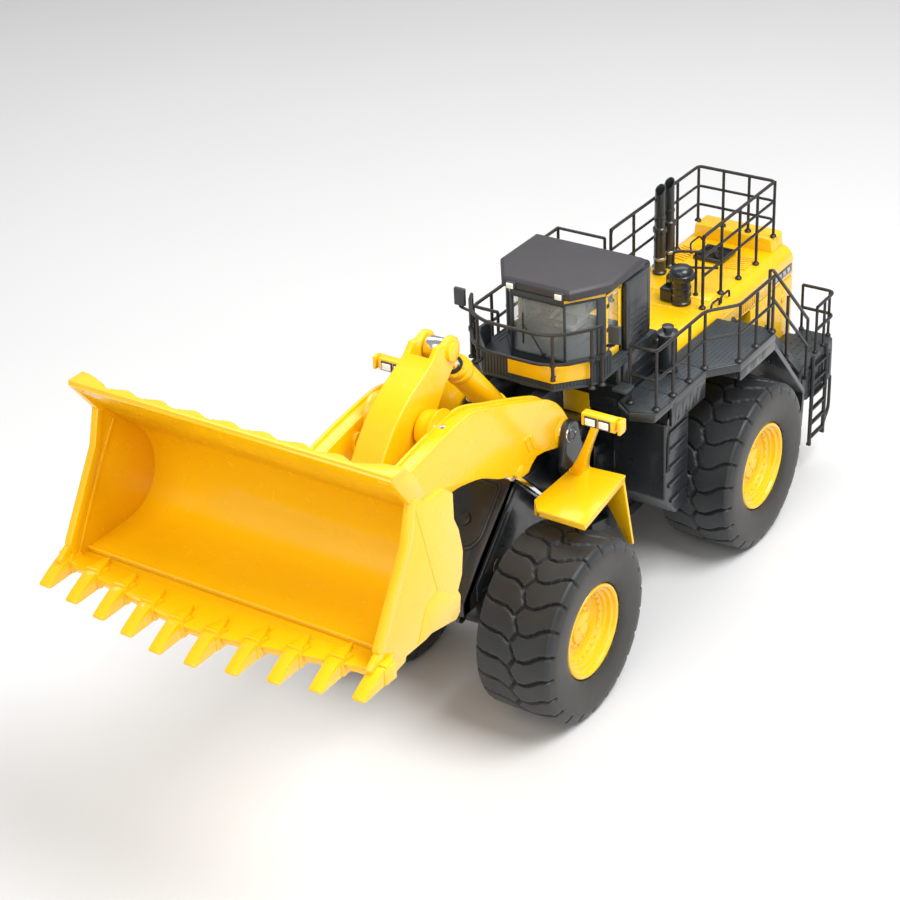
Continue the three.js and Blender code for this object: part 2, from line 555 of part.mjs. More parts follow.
const stepBlock = (s) => block(3.4, 10.4, s > 0 ? 28.2 : -33.2, s > 0 ? 33.2 : -28.2, 103, 104.5);
const stepHanger = (s) => block(5, 7, s > 0 ? 26.6 : -28.2, s > 0 ? 28.2 : -26.6, 103, 112.8);
add('cab_platform', join(platformFloor, kick, [1, -1].map((s) => [stepBlock(s), stepHanger(s)])), slate);

const railHalf = [[38.9, 10.9], [36.8, 16.6], [33.7, 21.2], [25.5, 27], [21.2, 29]];
const postSpots = [1, 3, 4].map((i) => railHalf[i]);
const hoop = [...railHalf.slice().reverse().map(([x, y]) => [x, -y]), ...railHalf];
add('platform_rail', join([
  [platform.railTop, platform.railMid].map((z) => rail(hoop.map(([x, y]) => [x, y, z]))),
  bothSides(postSpots).map(([x, y]) => post(x, y, platform.bottom, platform.railTop)),
]), railPaint);

const cabHalf = [[20.6, 12.2], [7, 22.6], [-19.5, 22.6]];
const cabWall = 1.6;
const cabInner = [[18.9, 11.2], [6.5, 21], [-17.9, 21]];
const sill = 117;
const header = 140.2;
const facePlane = (x0, x1, y0, y1) => block(x0, x1, y0, y1, sill, header);
const diagonalCut = plan([[17.6, 10.8], [21.6, 14], [11.6, 22.8], [7.6, 19.6]], sill, header);
add('cab_shell', cut(
  plan(bothSides(cabHalf), cab.bottom, cab.top),
  plan(bothSides(cabInner), cab.bottom + 1.2, cab.top + 1),
  facePlane(15, 25, -11, 11),
  facePlane(-4.5, 5.4, -30, 30),
  facePlane(-18, -6, -30, 30),
  facePlane(-25, -15, -14, 14),
  diagonalCut,
  mirrored(diagonalCut),
), black);
const paneOuter = [[18.6, 11], [6.4, 20.7], [-17.6, 20.7]];
const paneInner = [[18, 10.7], [6.2, 20.1], [-17, 20.1]];
add('cab_glass', cut(
  plan(bothSides(paneOuter), sill - 1.5, header + 1.5),
  plan(bothSides(paneInner), sill - 2, header + 2),
), glass);
const roofHalf = [[21.4, 15.1], [6.6, 24.8], [-20, 24.8]];
const roofRim = [[20.4, 14.5], [6, 23.8], [-19, 23.8]];
add('cab_roof', join(
  plan(bothSides(roofHalf), cab.top + GAP, 146.4),
  plan(bothSides(roofRim), 146, cab.roofTop),
  [1, -1].map((s) => block(20, 22.8, s * 10.7 - 1.7, s * 10.7 + 1.7, 143.4, 146)),
), grey);
add('cab_seat', join(
  block(-12, 14, -7, 7, cab.bottom + 1.5, cab.bottom + 2.6),
  block(-7, 2, -4.5, 4.5, cab.bottom + 2, 122),
  side([[-8.6, 120], [-5.4, 120], [-7, 134], [-9.6, 134]], -4.5, 4.5),
  bar([11, 0, cab.bottom + 2], [8, 0, 126], 1.3, 8),
  bar([8.4, 0, 125.4], [7.8, 0, 126.8], 4.2, 12),
), black);
add('wiper', join(bar([22.2, 4, 118], [22.2, -3.4, 132], 0.6), bar([22.2, -7, 129], [22.2, 1, 135], 0.6),
  bar([20.9, 4, 118], [22.8, 4, 118], 1, 8)), railPaint);
const pillarBox = (s) => block(-27, -20, s > 0 ? 12 : -24, s > 0 ? 24 : -12, platform.floor + GAP, 141);
const sidePanel = block(-24, -5, 22.9, 25, cab.bottom, 142.7);
addPair('intake_pillar', join(pillarBox(1), block(-26, -21, 14, 22, 140, 143.5), sidePanel), slate);
add('filter_canister', join(bar([-29.8, 29.6, deck.top + GAP], [-29.8, 29.6, 111], 3.9, 12), bar([-29.8, 29.6, 110], [-29.8, 29.6, 115], 3, 12)), black);
const mirrorArm = join(
  rail([[19.6, 30.4, 128], [21.5, 34.5, 130], [21.5, 34.5, 137]], 0.65),
  block(20.7, 22.2, 32, 37, 130.5, 138),
);
addPair('mirror', mirrorArm, railPaint);

const footprint = new THREE.Box3().setFromObject(machine);
const middle = footprint.getCenter(new THREE.Vector3());
machine.position.set(-middle.x, -middle.y, -footprint.min.z);
machine.updateMatrixWorld(true);

export default machine;
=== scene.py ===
import math

import bmesh
import bpy
import numpy as np
from mathutils import Matrix, Vector


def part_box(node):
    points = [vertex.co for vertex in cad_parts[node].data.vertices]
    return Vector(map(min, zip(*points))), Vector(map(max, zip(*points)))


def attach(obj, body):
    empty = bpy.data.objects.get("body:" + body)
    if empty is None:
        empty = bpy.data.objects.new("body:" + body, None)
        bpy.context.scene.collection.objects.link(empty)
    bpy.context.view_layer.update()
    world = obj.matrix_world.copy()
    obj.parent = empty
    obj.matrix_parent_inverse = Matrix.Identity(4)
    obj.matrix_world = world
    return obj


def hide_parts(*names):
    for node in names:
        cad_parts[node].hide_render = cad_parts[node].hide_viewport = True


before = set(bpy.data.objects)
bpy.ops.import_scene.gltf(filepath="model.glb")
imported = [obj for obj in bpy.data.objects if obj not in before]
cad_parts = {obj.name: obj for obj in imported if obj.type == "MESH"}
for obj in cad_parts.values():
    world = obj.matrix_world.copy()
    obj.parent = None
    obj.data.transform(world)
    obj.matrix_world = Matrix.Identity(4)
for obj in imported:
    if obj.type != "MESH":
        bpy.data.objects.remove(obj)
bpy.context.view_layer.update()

# Everything below is drawn in millimetres from the steering axis, then placed in the row frame.
MM = 0.001
pin_low, pin_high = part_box("articulation_pin")
STEER_X = (pin_low[0] + pin_high[0]) / 2
TO_ROW = Matrix.Translation((STEER_X, 0, 0)) @ Matrix.Scale(MM, 4)


# ---------------------------------------------------------------- materials
COAT_ROUGHNESS = 0.12
BUMP_DEPTH = 0.0004
# Range of Cycles' pointiness over which a sharp edge gets a painted highlight, a lighter colour.
EDGE_HIGHLIGHT_FROM, EDGE_HIGHLIGHT_TO = 0.51, 0.60


def shader(name, color, rough, metallic=0.0, coat=0.0, vary=0.06, grain=900.0, bump=0.05,
           rough_vary=0.08, alpha=1.0, edge=0.0, sheen=0.0, patch=55.0):
    """A paint or plastic whose colour, roughness and surface vary a little over the piece; with edge set,
    sharp edges get a painted highlight.
    """
    mat = bpy.data.materials.new(name)
    mat.use_nodes = True
    nt = mat.node_tree
    bsdf = next(n for n in nt.nodes if n.type == "BSDF_PRINCIPLED")
    coord = nt.nodes.new("ShaderNodeTexCoord")

    def noise(scale, detail, roughness=0.5):
        n = nt.nodes.new("ShaderNodeTexNoise")
        n.inputs["Scale"].default_value = scale
        n.inputs["Detail"].default_value = detail
        n.inputs["Roughness"].default_value = roughness
        nt.links.new(coord.outputs["Object"], n.inputs["Vector"])
        return n

    broad = noise(patch, 4)
    ramp = nt.nodes.new("ShaderNodeValToRGB")
    dark = [max(0.0, c * (1 - vary)) for c in color]
    light = [min(1.0, c * (1 + vary)) for c in color]
    ramp.color_ramp.elements[0].position = 0.3
    ramp.color_ramp.elements[1].position = 0.7
    ramp.color_ramp.elements[0].color = (*dark, 1)
    ramp.color_ramp.elements[1].color = (*light, 1)
    nt.links.new(broad.outputs["Fac"], ramp.inputs["Fac"])
    last = ramp.outputs["Color"]
    if edge:
        # Painted highlight: where pointiness is high, along sharp edges, the colour is mixed towards a
        # lighter one; wear holds its strength.
        geo = nt.nodes.new("ShaderNodeNewGeometry")
        wear = nt.nodes.new("ShaderNodeMapRange")
        wear.inputs["From Min"].default_value = EDGE_HIGHLIGHT_FROM
        wear.inputs["From Max"].default_value = EDGE_HIGHLIGHT_TO
        wear.inputs["To Max"].default_value = edge
        nt.links.new(geo.outputs["Pointiness"], wear.inputs["Value"])
        mix = nt.nodes.new("ShaderNodeMix")
        mix.data_type = "RGBA"
        mix.inputs["B"].default_value = (*[min(1.0, c * 1.5 + 0.05) for c in color], 1)
        nt.links.new(wear.outputs["Result"], mix.inputs["Factor"])
        nt.links.new(last, mix.inputs["A"])
        last = mix.outputs["Result"]
    nt.links.new(last, bsdf.inputs["Base Color"])
    mid = noise(patch * 4, 3)
    span = nt.nodes.new("ShaderNodeMapRange")
    span.inputs["To Min"].default_value = max(0.02, rough - rough_vary)
    span.inputs["To Max"].default_value = min(1.0, rough + rough_vary)
    nt.links.new(mid.outputs["Fac"], span.inputs["Value"])
    nt.links.new(span.outputs["Result"], bsdf.inputs["Roughness"])
    fine = noise(grain, 3, 0.6)
    bumper = nt.nodes.new("ShaderNodeBump")
    bumper.inputs["Strength"].default_value = bump
    bumper.inputs["Distance"].default_value = BUMP_DEPTH
    nt.links.new(fine.outputs["Fac"], bumper.inputs["Height"])
    nt.links.new(bumper.outputs["Normal"], bsdf.inputs["Normal"])
    bsdf.inputs["Metallic"].default_value = metallic
    bsdf.inputs["Coat Weight"].default_value = coat
    bsdf.inputs["Coat Roughness"].default_value = COAT_ROUGHNESS
    bsdf.inputs["Alpha"].default_value = alpha
    if sheen:
        bsdf.inputs["Sheen Weight"].default_value = sheen
        bsdf.inputs["Sheen Roughness"].default_value = 0.5
    return mat


YELLOW = shader("yellow_enamel", (0.95, 0.55, 0.002), 0.26, coat=0.35, vary=0.02, grain=700, bump=0.03,
                rough_vary=0.05)
BLACK = shader("black_enamel", (0.018, 0.021, 0.024), 0.3, coat=0.3, vary=0.15, grain=800, bump=0.05)
SLATE = shader("slate_plastic", (0.036, 0.046, 0.053), 0.48, vary=0.12, grain=1500, bump=0.10)
ROOF = shader("roof_plastic", (0.042, 0.039, 0.044), 0.5, vary=0.08, grain=2100, bump=0.25)
RAIL = shader("rail_plastic", (0.018, 0.016, 0.016), 0.38, vary=0.2, grain=1800, bump=0.1)
# The tyre's sharp edges carry a painted highlight (edge).
TYRE = shader("tyre_rubber", (0.017, 0.019, 0.021), 0.5, vary=0.25, grain=1300, bump=0.16, edge=0.35,
              sheen=0.08)
WALL = shader("tyre_wall_rubber", (0.026, 0.023, 0.019), 0.6, vary=0.25, grain=1100, bump=0.14, sheen=0.1)
CHROME = shader("bright_steel", (0.78, 0.79, 0.80), 0.16, metallic=1.0, vary=0.04, grain=2400, bump=0.05,
                rough_vary=0.06)
STEEL = shader("dull_steel", (0.42, 0.42, 0.43), 0.36, metallic=1.0, vary=0.12, grain=1600, bump=0.12)
GLASS = shader("cab_window", (0.80, 0.86, 0.86), 0.05, vary=0.02, grain=300, bump=0.01, rough_vary=0.02,
               alpha=0.14)
LENS = shader("lamp_lens", (0.88, 0.88, 0.84), 0.14, vary=0.04, grain=1200, bump=0.3, coat=0.6)
SEAT = shader("seat_vinyl", (0.62, 0.62, 0.58), 0.55, vary=0.15, grain=1400, bump=0.3)
RED = shader("red_enamel", (0.45, 0.01, 0.01), 0.35, coat=0.3, vary=0.08)
GREYLABEL = shader("label_silver", (0.5, 0.5, 0.52), 0.35, metallic=0.4, vary=0.1)
FLOOR = shader("pale_floor", (0.74, 0.74, 0.74), 0.7, vary=0.01, grain=200, bump=0.02, patch=3)


# ---------------------------------------------------------------- mesh work
SIDES = (("left", 1), ("right", -1))
TUBE_SIDES = 8
AXES = {"xz": (0, 2, 1), "xy": (0, 1, 2), "yz": (1, 2, 0)}


class Piece:
    """One visible piece, gathered from bevelled solids, in millimetres from the steering axis.

    A solid that names no material gets the piece's own.
    """

    def __init__(self, name, mat):
        self.name = name
        self.mat = mat
        self.bm = bmesh.new()
        self.mats = []

    def slot_of(self, mat):
        if mat not in self.mats:
            self.mats.append(mat)
        return self.mats.index(mat)

    def take(self, bm, mat=None, bevel=0.0, segments=2, transform=None):
        """Bevels the sharp edges of a solid, gives it a material and adds it."""
        bmesh.ops.recalc_face_normals(bm, faces=bm.faces)
        if bevel:
            sharp = [e for e in bm.edges if len(e.link_faces) == 2 and e.calc_face_angle(0) > 0.5]
            bmesh.ops.bevel(bm, geom=sharp, offset=bevel, segments=segments, profile=0.5, affect="EDGES",
                            clamp_overlap=True)
        if transform:
            bmesh.ops.transform(bm, matrix=transform, verts=bm.verts)
        index = self.slot_of(mat or self.mat)
        for f in bm.faces:
            f.material_index = index
        self.add(bm)

    def add(self, bm):
        """Adds a mesh as it is."""
        temp = bpy.data.meshes.new("temp")
        bm.to_mesh(temp)
        bm.free()
        self.bm.from_mesh(temp)
        bpy.data.meshes.remove(temp)

    def prism(self, points, low, high, mat=None, plane="xz", bevel=0.35, segments=2):
        """A solid with the given outline in a plane, between two levels across it."""
        bm = bmesh.new()
        rings = [[bm.verts.new(spot(plane, p, level)) for p in points] for level in (low, high)]
        bm.faces.new(rings[0])
        bm.faces.new(rings[1])
        join(bm, rings)
        self.take(bm, mat, bevel, segments)

    def band(self, outer, inner, low, high, plane="xy", bevel=0.15):
        """A closed wall between two outlines that have the same number of points."""
        bm = bmesh.new()
        a, b, c, d = ([bm.verts.new(spot(plane, p, level)) for p in points]
                      for points in (outer, inner) for level in (low, high))
        n = len(outer)
        for i in range(n):
            j = (i + 1) % n
            bm.faces.new((a[i], a[j], b[j], b[i]))
            bm.faces.new((c[i], d[i], d[j], c[j]))
            bm.faces.new((b[i], b[j], d[j], d[i]))
            bm.faces.new((a[i], c[i], c[j], a[j]))
        self.take(bm, bevel=bevel)

    def box(self, x0, x1, y0, y1, z0, z1, mat=None, bevel=0.3, segments=2):
        self.prism(rect(x0, x1, y0, y1), z0, z1, mat, "xy", bevel, segments)

    def rod(self, a, b, r, mat=None, sides=20, bevel=0.15):
        a, b = Vector(a), Vector(b)
        bm = bmesh.new()
        bmesh.ops.create_cone(bm, cap_ends=True, segments=sides, radius1=r, radius2=r, depth=(b - a).length)
        turn = (b - a).to_track_quat("Z", "Y").to_matrix().to_4x4()
        self.take(bm, mat, bevel, 2, Matrix.Translation((a + b) / 2) @ turn)

    def bar(self, a, b, start, end, r, mat=None, y=0.0, **look):
        """A rod on the line from a towards b in the XZ plane, between two distances from a."""
        self.rod(along(a, b, start, y), along(a, b, end, y), r, mat, **look)

    def pin(self, x, z, r, y0, y1, mat=None, sides=28, bevel=0.3):
        self.rod((x, y0, z), (x, y1, z), r, mat, sides=sides, bevel=bevel)

    def bolt(self, at, normal, r, mat=None, height=0.5):
        at, normal = Vector(at), Vector(normal).normalized()
        self.rod(at - normal * 0.1, at + normal * height, r, mat, sides=6, bevel=0.08)

    def bolt_ring(self, centre, radius, count, r, mat=None, height=0.5, way=1, start=0.0):
        """Bolts on a circle about a cross axis, their heads towards +Y or, with way -1, towards -Y."""
        x, y, z = centre
        for t in turns(count, start):
            at = (x + radius * math.cos(t), y, z + radius * math.sin(t))
            self.bolt(at, (0, way, 0), r, mat, height)

    def tube(self, points, r, mat=None, corner=1.6, closed=False):
        """A round bar along a path, with its corners rounded."""
        path = rounded(points, corner, closed)
        bm = bmesh.new()
        rings = []
        count = len(path)
        up = None
        for i, p in enumerate(path):
            before = path[(i - 1) % count] if closed or i else p
            after = path[(i + 1) % count] if closed or i < count - 1 else p
            way = (after - before).normalized()
            if up is None:
                up = way.orthogonal().normalized()
            up = (up - way * up.dot(way)).normalized()
            across = way.cross(up)
            rings.append([bm.verts.new(p + (up * math.cos(t) + across * math.sin(t)) * r)
                          for t in turns(TUBE_SIDES)])
        join(bm, rings + rings[:1] if closed else rings)
        if not closed:
            bm.faces.new(rings[0])
            bm.faces.new(rings[-1])
        self.take(bm, mat)

    def loft(self, rings, mat=None, bevel=0.0):
        """A solid with a skin over closed rings that have the same number of points."""
        bm = bmesh.new()
        rings = [[bm.verts.new(point) for point in ring] for ring in rings]
        join(bm, rings)
        bm.faces.new(rings[0])
        bm.faces.new(rings[-1])
        self.take(bm, mat, bevel)

    def lathe(self, profile, centre, mat=None, axis="y", segments=64, side=1):
        """profile is (radius, along); closed onto the axis where it starts or ends at radius 0."""
        bm = bmesh.new()
        rings = []
        for r, a in profile:
            if r < 1e-6:
                rings.append([bm.verts.new(axial(centre, axis, 0, 0, a * side))])
            else:
                rings.append([bm.verts.new(axial(centre, axis, r * math.cos(t), r * math.sin(t), a * side))
                              for t in turns(segments)])
        for a, b in zip(rings, rings[1:]):
            if len(a) > 1 and len(b) > 1:
                join(bm, [a, b])
                continue
            for k in range(segments):
                m = (k + 1) % segments
                if len(b) > 1:
                    bm.faces.new((a[0], b[m], b[k]))
                elif len(a) > 1:
                    bm.faces.new((a[k], a[m], b[0]))
        if len(rings[0]) > 1 and len(rings[-1]) > 1:
            join(bm, [rings[-1], rings[0]])
        self.take(bm, mat)

    def mirror(self):
        """Adds the same again on the right."""
        self.add(mirror_image(self.bm))

    def sided(self, side):
        """The piece as it was made for the left or, with side -1, its mirror image for the right."""
        if side < 0:
            self.bm = mirror_image(self.bm)
        return self

    def mesh(self, placed, angle=32):
        """The finished mesh, moved from millimetres to its place in metres."""
        bmesh.ops.transform(self.bm, matrix=placed, verts=self.bm.verts)
        for f in self.bm.faces:
            f.smooth = True
        mesh = bpy.data.meshes.new(self.name)
        self.bm.to_mesh(mesh)
        self.bm.free()
        for mat in self.mats:
            mesh.materials.append(mat)
        mesh.set_sharp_from_angle(angle=math.radians(angle))
        return mesh

    def done(self, body, slot, node):
        """Puts the piece in the scene, in place of a node of the CAD model."""
        obj = bpy.data.objects.new(self.name, self.mesh(TO_ROW))
        bpy.context.scene.collection.objects.link(obj)
        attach(obj, body)
        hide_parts(node)


def mirror_image(bm):
    copy = bm.copy()
    bmesh.ops.transform(copy, matrix=Matrix.Scale(-1, 4, (0, 1, 0)), verts=copy.verts)
    bmesh.ops.reverse_faces(copy, faces=copy.faces)
    return copy


def turns(count, start=0.0):
    """Angles in equal steps round a full turn."""
    return [2 * math.pi * k / count + start for k in range(count)]


def rect(u0, u1, v0, v1):
    """Outline of a rectangle."""
    return [(u0, v0), (u1, v0), (u1, v1), (u0, v1)]


def circle(r):
    """Outline of a circle about the origin."""
    return [(r * math.cos(math.radians(t)), r * math.sin(math.radians(t))) for t in range(0, 360, 15)]


def on_side(side, near, far):
    """The range from near to far on the left, or the same mirrored to the right, lowest value first."""
    return sorted((side * near, side * far))


def spot(plane, point, level):
    """Where a point of an outline lies in space, at a level across the outline's plane."""
    u, v, w = AXES[plane]
    place = [0.0, 0.0, 0.0]
    place[u], place[v], place[w] = point[0], point[1], level
    return place


def join(bm, rings):
    """Four-sided faces between each ring of vertices and the next."""
    for a, b in zip(rings, rings[1:]):
        for k in range(len(a)):
            m = (k + 1) % len(a)
            bm.faces.new((a[k], a[m], b[m], b[k]))


def axial(centre, axis, p, q, a):
    c = Vector(centre)
    if axis == "y":
        return c + Vector((p, a, q))
    if axis == "z":
        return c + Vector((p, q, a))
    return c + Vector((a, p, q))


def rounded(points, corner, closed=False):
    """The same path with a short curve in place of each corner."""
    pts = [Vector(p) for p in points]
    out = []
    n = len(pts)
    for i, p in enumerate(pts):
        if not closed and i in (0, n - 1):
            out.append(p)
            continue
        a, b = pts[(i - 1) % n], pts[(i + 1) % n]
        da, db = (a - p), (b - p)
        if da.normalized().dot(db.normalized()) < -0.999:
            out.append(p)
            continue
        reach = min(corner, da.length * 0.45, db.length * 0.45)
        s, e = p + da.normalized() * reach, p + db.normalized() * reach
        for k in range(5):
            t = k / 4
            out.append(s * (1 - t) ** 2 + p * 2 * t * (1 - t) + e * t * t)
    return out


def arc(cx, cz, r, start, end, steps):
    """Points on a circle from one angle to another, in degrees."""
    return [(cx + r * math.cos(math.radians(start + (end - start) * i / steps)),
             cz + r * math.sin(math.radians(start + (end - start) * i / steps))) for i in range(steps + 1)]


STRAP_STEPS = 14


def strap(a, b, ra, rb):
    """Outline of a link with a round end about each of two points."""
    turn = math.degrees(math.atan2(b[1] - a[1], b[0] - a[0]))
    return arc(*a, ra, turn + 90, turn + 270, STRAP_STEPS) + arc(*b, rb, turn - 90, turn + 90, STRAP_STEPS)


def between(a, b, d):
    """The point on the line from a towards b at distance d from a."""
    length = math.hypot(b[0] - a[0], b[1] - a[1])
    return (a[0] + (b[0] - a[0]) * d / length, a[1] + (b[1] - a[1]) * d / length)


# ---------------------------------------------------------------- wheels
AXLE_X = 71.0
HINGE_R, HINGE_BORE = 8.5, 3.8
WHEEL_R = 36.4
WHEEL_Y = 39.0
PITCHES = 22
# Tyre: half the width of the tread, and the radius at which the plain sidewall ends.
TREAD_HALF, WALL_TOP = 13.8, 32.9


def polyline_distance(s, t, line, period):
    """Distance from each point of a grid to a line that repeats round the tyre."""
    best = np.full(s.shape, 1e9)
    for (s0, t0), (s1, t1) in zip(line, line[1:]):
        for shift in (-period, 0, period):
            a, b = s0 + shift, s1 + shift
            ds, dt = b - a, t1 - t0
            k = np.clip(((s - a) * ds + (t - t0) * dt) / (ds * ds + dt * dt), 0, 1)
            best = np.minimum(best, np.hypot(s - (a + k * ds), t - (t0 + k * dt)))
    return best


def tyre_mesh():
    """Tyre about the origin, outer side towards +Y: two rows of curved blocks parted by narrow grooves."""
    pitch = 2 * math.pi * WHEEL_R / PITCHES
    around = 440
    half_profile = [(19.2, 13.4), (19.5, 14.6), (20.6, 15.3), (23.0, 15.9), (26.0, 16.35), (29.0, 16.6),
                    (31.0, 16.65), (32.2, 16.5), (33.0, 16.3), (33.6, 16.15), (34.2, 15.95), (34.8, 15.7),
                    (35.3, 15.35), (35.7, 14.9), (36.0, 14.4)]
    crown = [(36.4 - 0.42 * (t / 13.6) ** 2, t) for t in np.linspace(TREAD_HALF, -TREAD_HALF, 47)]
    profile = half_profile + crown + [(r, -a) for r, a in reversed(half_profile)]
    lip = [(19.2, -13.4), (19.2, 13.4)]
    radius = np.array([p[0] for p in profile])
    along = np.array([p[1] for p in profile])
    # Distance over the shoulder carries on the lateral coordinate, so grooves run down the sidewall.
    lateral = along.copy()
    for i, (r, a) in enumerate(profile):
        if abs(a) > TREAD_HALF and r < 36.2:
            lateral[i] = math.copysign(TREAD_HALF + (36.3 - r) * 1.15, a)
    theta = np.arange(around) * 2 * math.pi / around
    s = (theta * WHEEL_R)[:, None] % pitch + 0 * lateral[None, :]
    t = lateral[None, :] + 0 * s
    outer = [(1.5 * math.sin((u - 1.6) * 0.36 + 3.4) + 0.20 * (u - 1.6), u)
             for u in np.linspace(1.6, 18.2, 12)]
    inner = [(pitch * 0.52 + 0.38 * (-u - 1.2) + 0.9 * math.sin((-u - 1.2) * 0.42), u)
             for u in np.linspace(-1.2, -18.2, 12)]
    zig = [outer[0], inner[0], (outer[0][0] + pitch, outer[0][1])]
    groove = np.minimum(polyline_distance(s, t, outer, pitch), polyline_distance(s, t, inner, pitch))
    groove = np.minimum(groove, polyline_distance(s, t, zig, pitch))
    k = np.clip((groove - 0.38) / 0.34, 0, 1)
    cut = 1 - k * k * (3 - 2 * k)
    fade = np.clip((18.6 - np.abs(t)) / 1.2, 0, 1)
    crownness = 0.16 * np.clip(1 - groove / 2.6, 0, 1) ** 2
    depth = (1.25 * cut + crownness) * fade
    # Raised block ends stand a little proud of the sidewall.
    wall = np.clip((np.abs(t) - TREAD_HALF) / 3, 0, 1) * (np.abs(t) < 18.4)
    r = radius[None, :] - depth * (1 - 0.55 * wall)
    a = along[None, :] - np.sign(along)[None, :] * depth * wall * 0.75
    rows = len(profile)
    verts, faces, kinds = [], [], []
    for i in range(around):
        c, q = math.cos(theta[i] + math.pi / 2), math.sin(theta[i] + math.pi / 2)
        for j in range(rows):
            verts.append((r[i, j] * c, a[i, j], r[i, j] * q))
        for lr, la in lip:
            verts.append((lr * c, la, lr * q))
    ring = rows + len(lip)
    for i in range(around):
        n = (i + 1) % around
        for j in range(ring):
            m = (j + 1) % ring
            faces.append((i * ring + j, i * ring + m, n * ring + m, n * ring + j))
            tread = j < rows - 1 and min(radius[j], radius[j + 1]) > WALL_TOP
            kinds.append(0 if tread else 1)
    mesh = bpy.data.meshes.new("tyre")
    mesh.from_pydata([(x * MM, y * MM, z * MM) for x, y, z in verts], [], faces)
    mesh.materials.append(TYRE)
    mesh.materials.append(WALL)
    mesh.polygons.foreach_set("material_index", kinds)
    mesh.polygons.foreach_set("use_smooth", [True] * len(faces))
    bm = bmesh.new()
    bm.from_mesh(mesh)
    bmesh.ops.recalc_face_normals(bm, faces=bm.faces)
    bm.to_mesh(mesh)
    bm.free()
    mesh.set_sharp_from_angle(angle=math.radians(42))
    return mesh


def rim_mesh():
    piece = Piece("rim", YELLOW)
    piece.lathe([(0, 5.6), (3.25, 5.6), (3.25, -3.8), (6.4, -3.8), (6.6, 2.4), (15.0, 2.6), (16.4, -13.9),
             (17.6, -14.2), (18.9, -14.2), (18.9, -13.2), (18.6, -12), (18.6, 12), (18.9, 13), (18.9, 14.0),
             (18.5, 14.5), (17.9, 14.6), (17.3, 14.2), (16.9, 13.1), (16.5, 12.8), (15.9, 12.6),
             (15.6, 11.2), (15.0, 10.9), (14.4, 10.8), (14.1, 9.9), (13.4, 9.5), (12.6, 9.3), (12.3, 8.4),
             (11.8, 8.0), (8.6, 7.7), (8.3, 8.4), (7.9, 8.7), (6.6, 8.7), (6.3, 9.4), (6.0, 9.6),
             (2.6, 9.9), (2.3, 10.2), (0, 10.25)], (0, 0, 0), segments=96)
    piece.bolt_ring((0, 9.35, 0), 13.0, 24, 0.48, height=0.45)
    piece.bolt_ring((0, 8.6, 0), 7.2, 12, 0.42, height=0.45, start=math.pi / 12)
    piece.bolt_ring((0, 9.75, 0), 3.6, 3, 0.55, height=0.5, start=0.5)
    piece.rod((10.2, 7.8, 0.0), (10.2, 9.4, 0.0), 0.35, STEEL, sides=10)
    return piece.mesh(Matrix.Scale(MM, 4), 30)


def add_wheels():
    tyre, rim = tyre_mesh(), rim_mesh()
    turns = {"front_left": 5, "front_right": 37, "rear_left": 61, "rear_right": 17}
    for end, x in (("front", AXLE_X), ("rear", -AXLE_X)):
        for name, side in SIDES:
            where = f"{end}_{name}"
            for mesh, part, slot in ((tyre, "tyre", "tyre_rubber"), (rim, "rim", "yellow_paint")):
                obj = bpy.data.objects.new(f"{part}_{where}_look", mesh)
                bpy.context.scene.collection.objects.link(obj)
                face = Matrix.Rotation(0 if side > 0 else math.pi, 4, "X")
                spin = Matrix.Rotation(math.radians(turns[where] / PITCHES), 4, "Y")
                obj.matrix_world = Matrix.Translation((x * MM + STEER_X, side * WHEEL_Y * MM,
                                                       WHEEL_R * MM)) @ face @ spin
                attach(obj, f"wheel_{where}")
                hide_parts(f"{part}_{where}")


add_wheels()


# ---------------------------------------------------------------- bucket
BOOM_PIVOT = (37.0, 97.0)
BUCKET_PIVOT = (164.0, 117.0)
CRANK_PIVOT = (109.0, 130.0)
CRANK_TOP = (88.5, 150.5)
CRANK_FOOT = (148.0, 111.0)
LINK_EYE = (166.0, 132.5)
TILT_BASE = (47.0, 103.6)
LIFT_BASE = (34.0, 60.0)
LIFT_EYE = (69.4, 94.0)
ARM_IN, ARM_OUT, LIFT_Y = 13.2, 20.7, 16.9


def smooth_line(points, steps=5):
    """Catmull-Rom through the points, ends kept."""
    pts = [points[0]] + list(points) + [points[-1]]
    out = []
    for i in range(1, len(pts) - 2):
        p0, p1, p2, p3 = (np.array(p, float) for p in pts[i - 1:i + 3])
        for k in range(steps):
            t = k / steps
            out.append(tuple(0.5 * (2 * p1 + (p2 - p0) * t + (2 * p0 - 5 * p1 + 4 * p2 - p3) * t * t
                                    + (3 * p1 - p0 - 3 * p2 + p3) * t ** 3)))
    out.append(tuple(points[-1]))
    return out


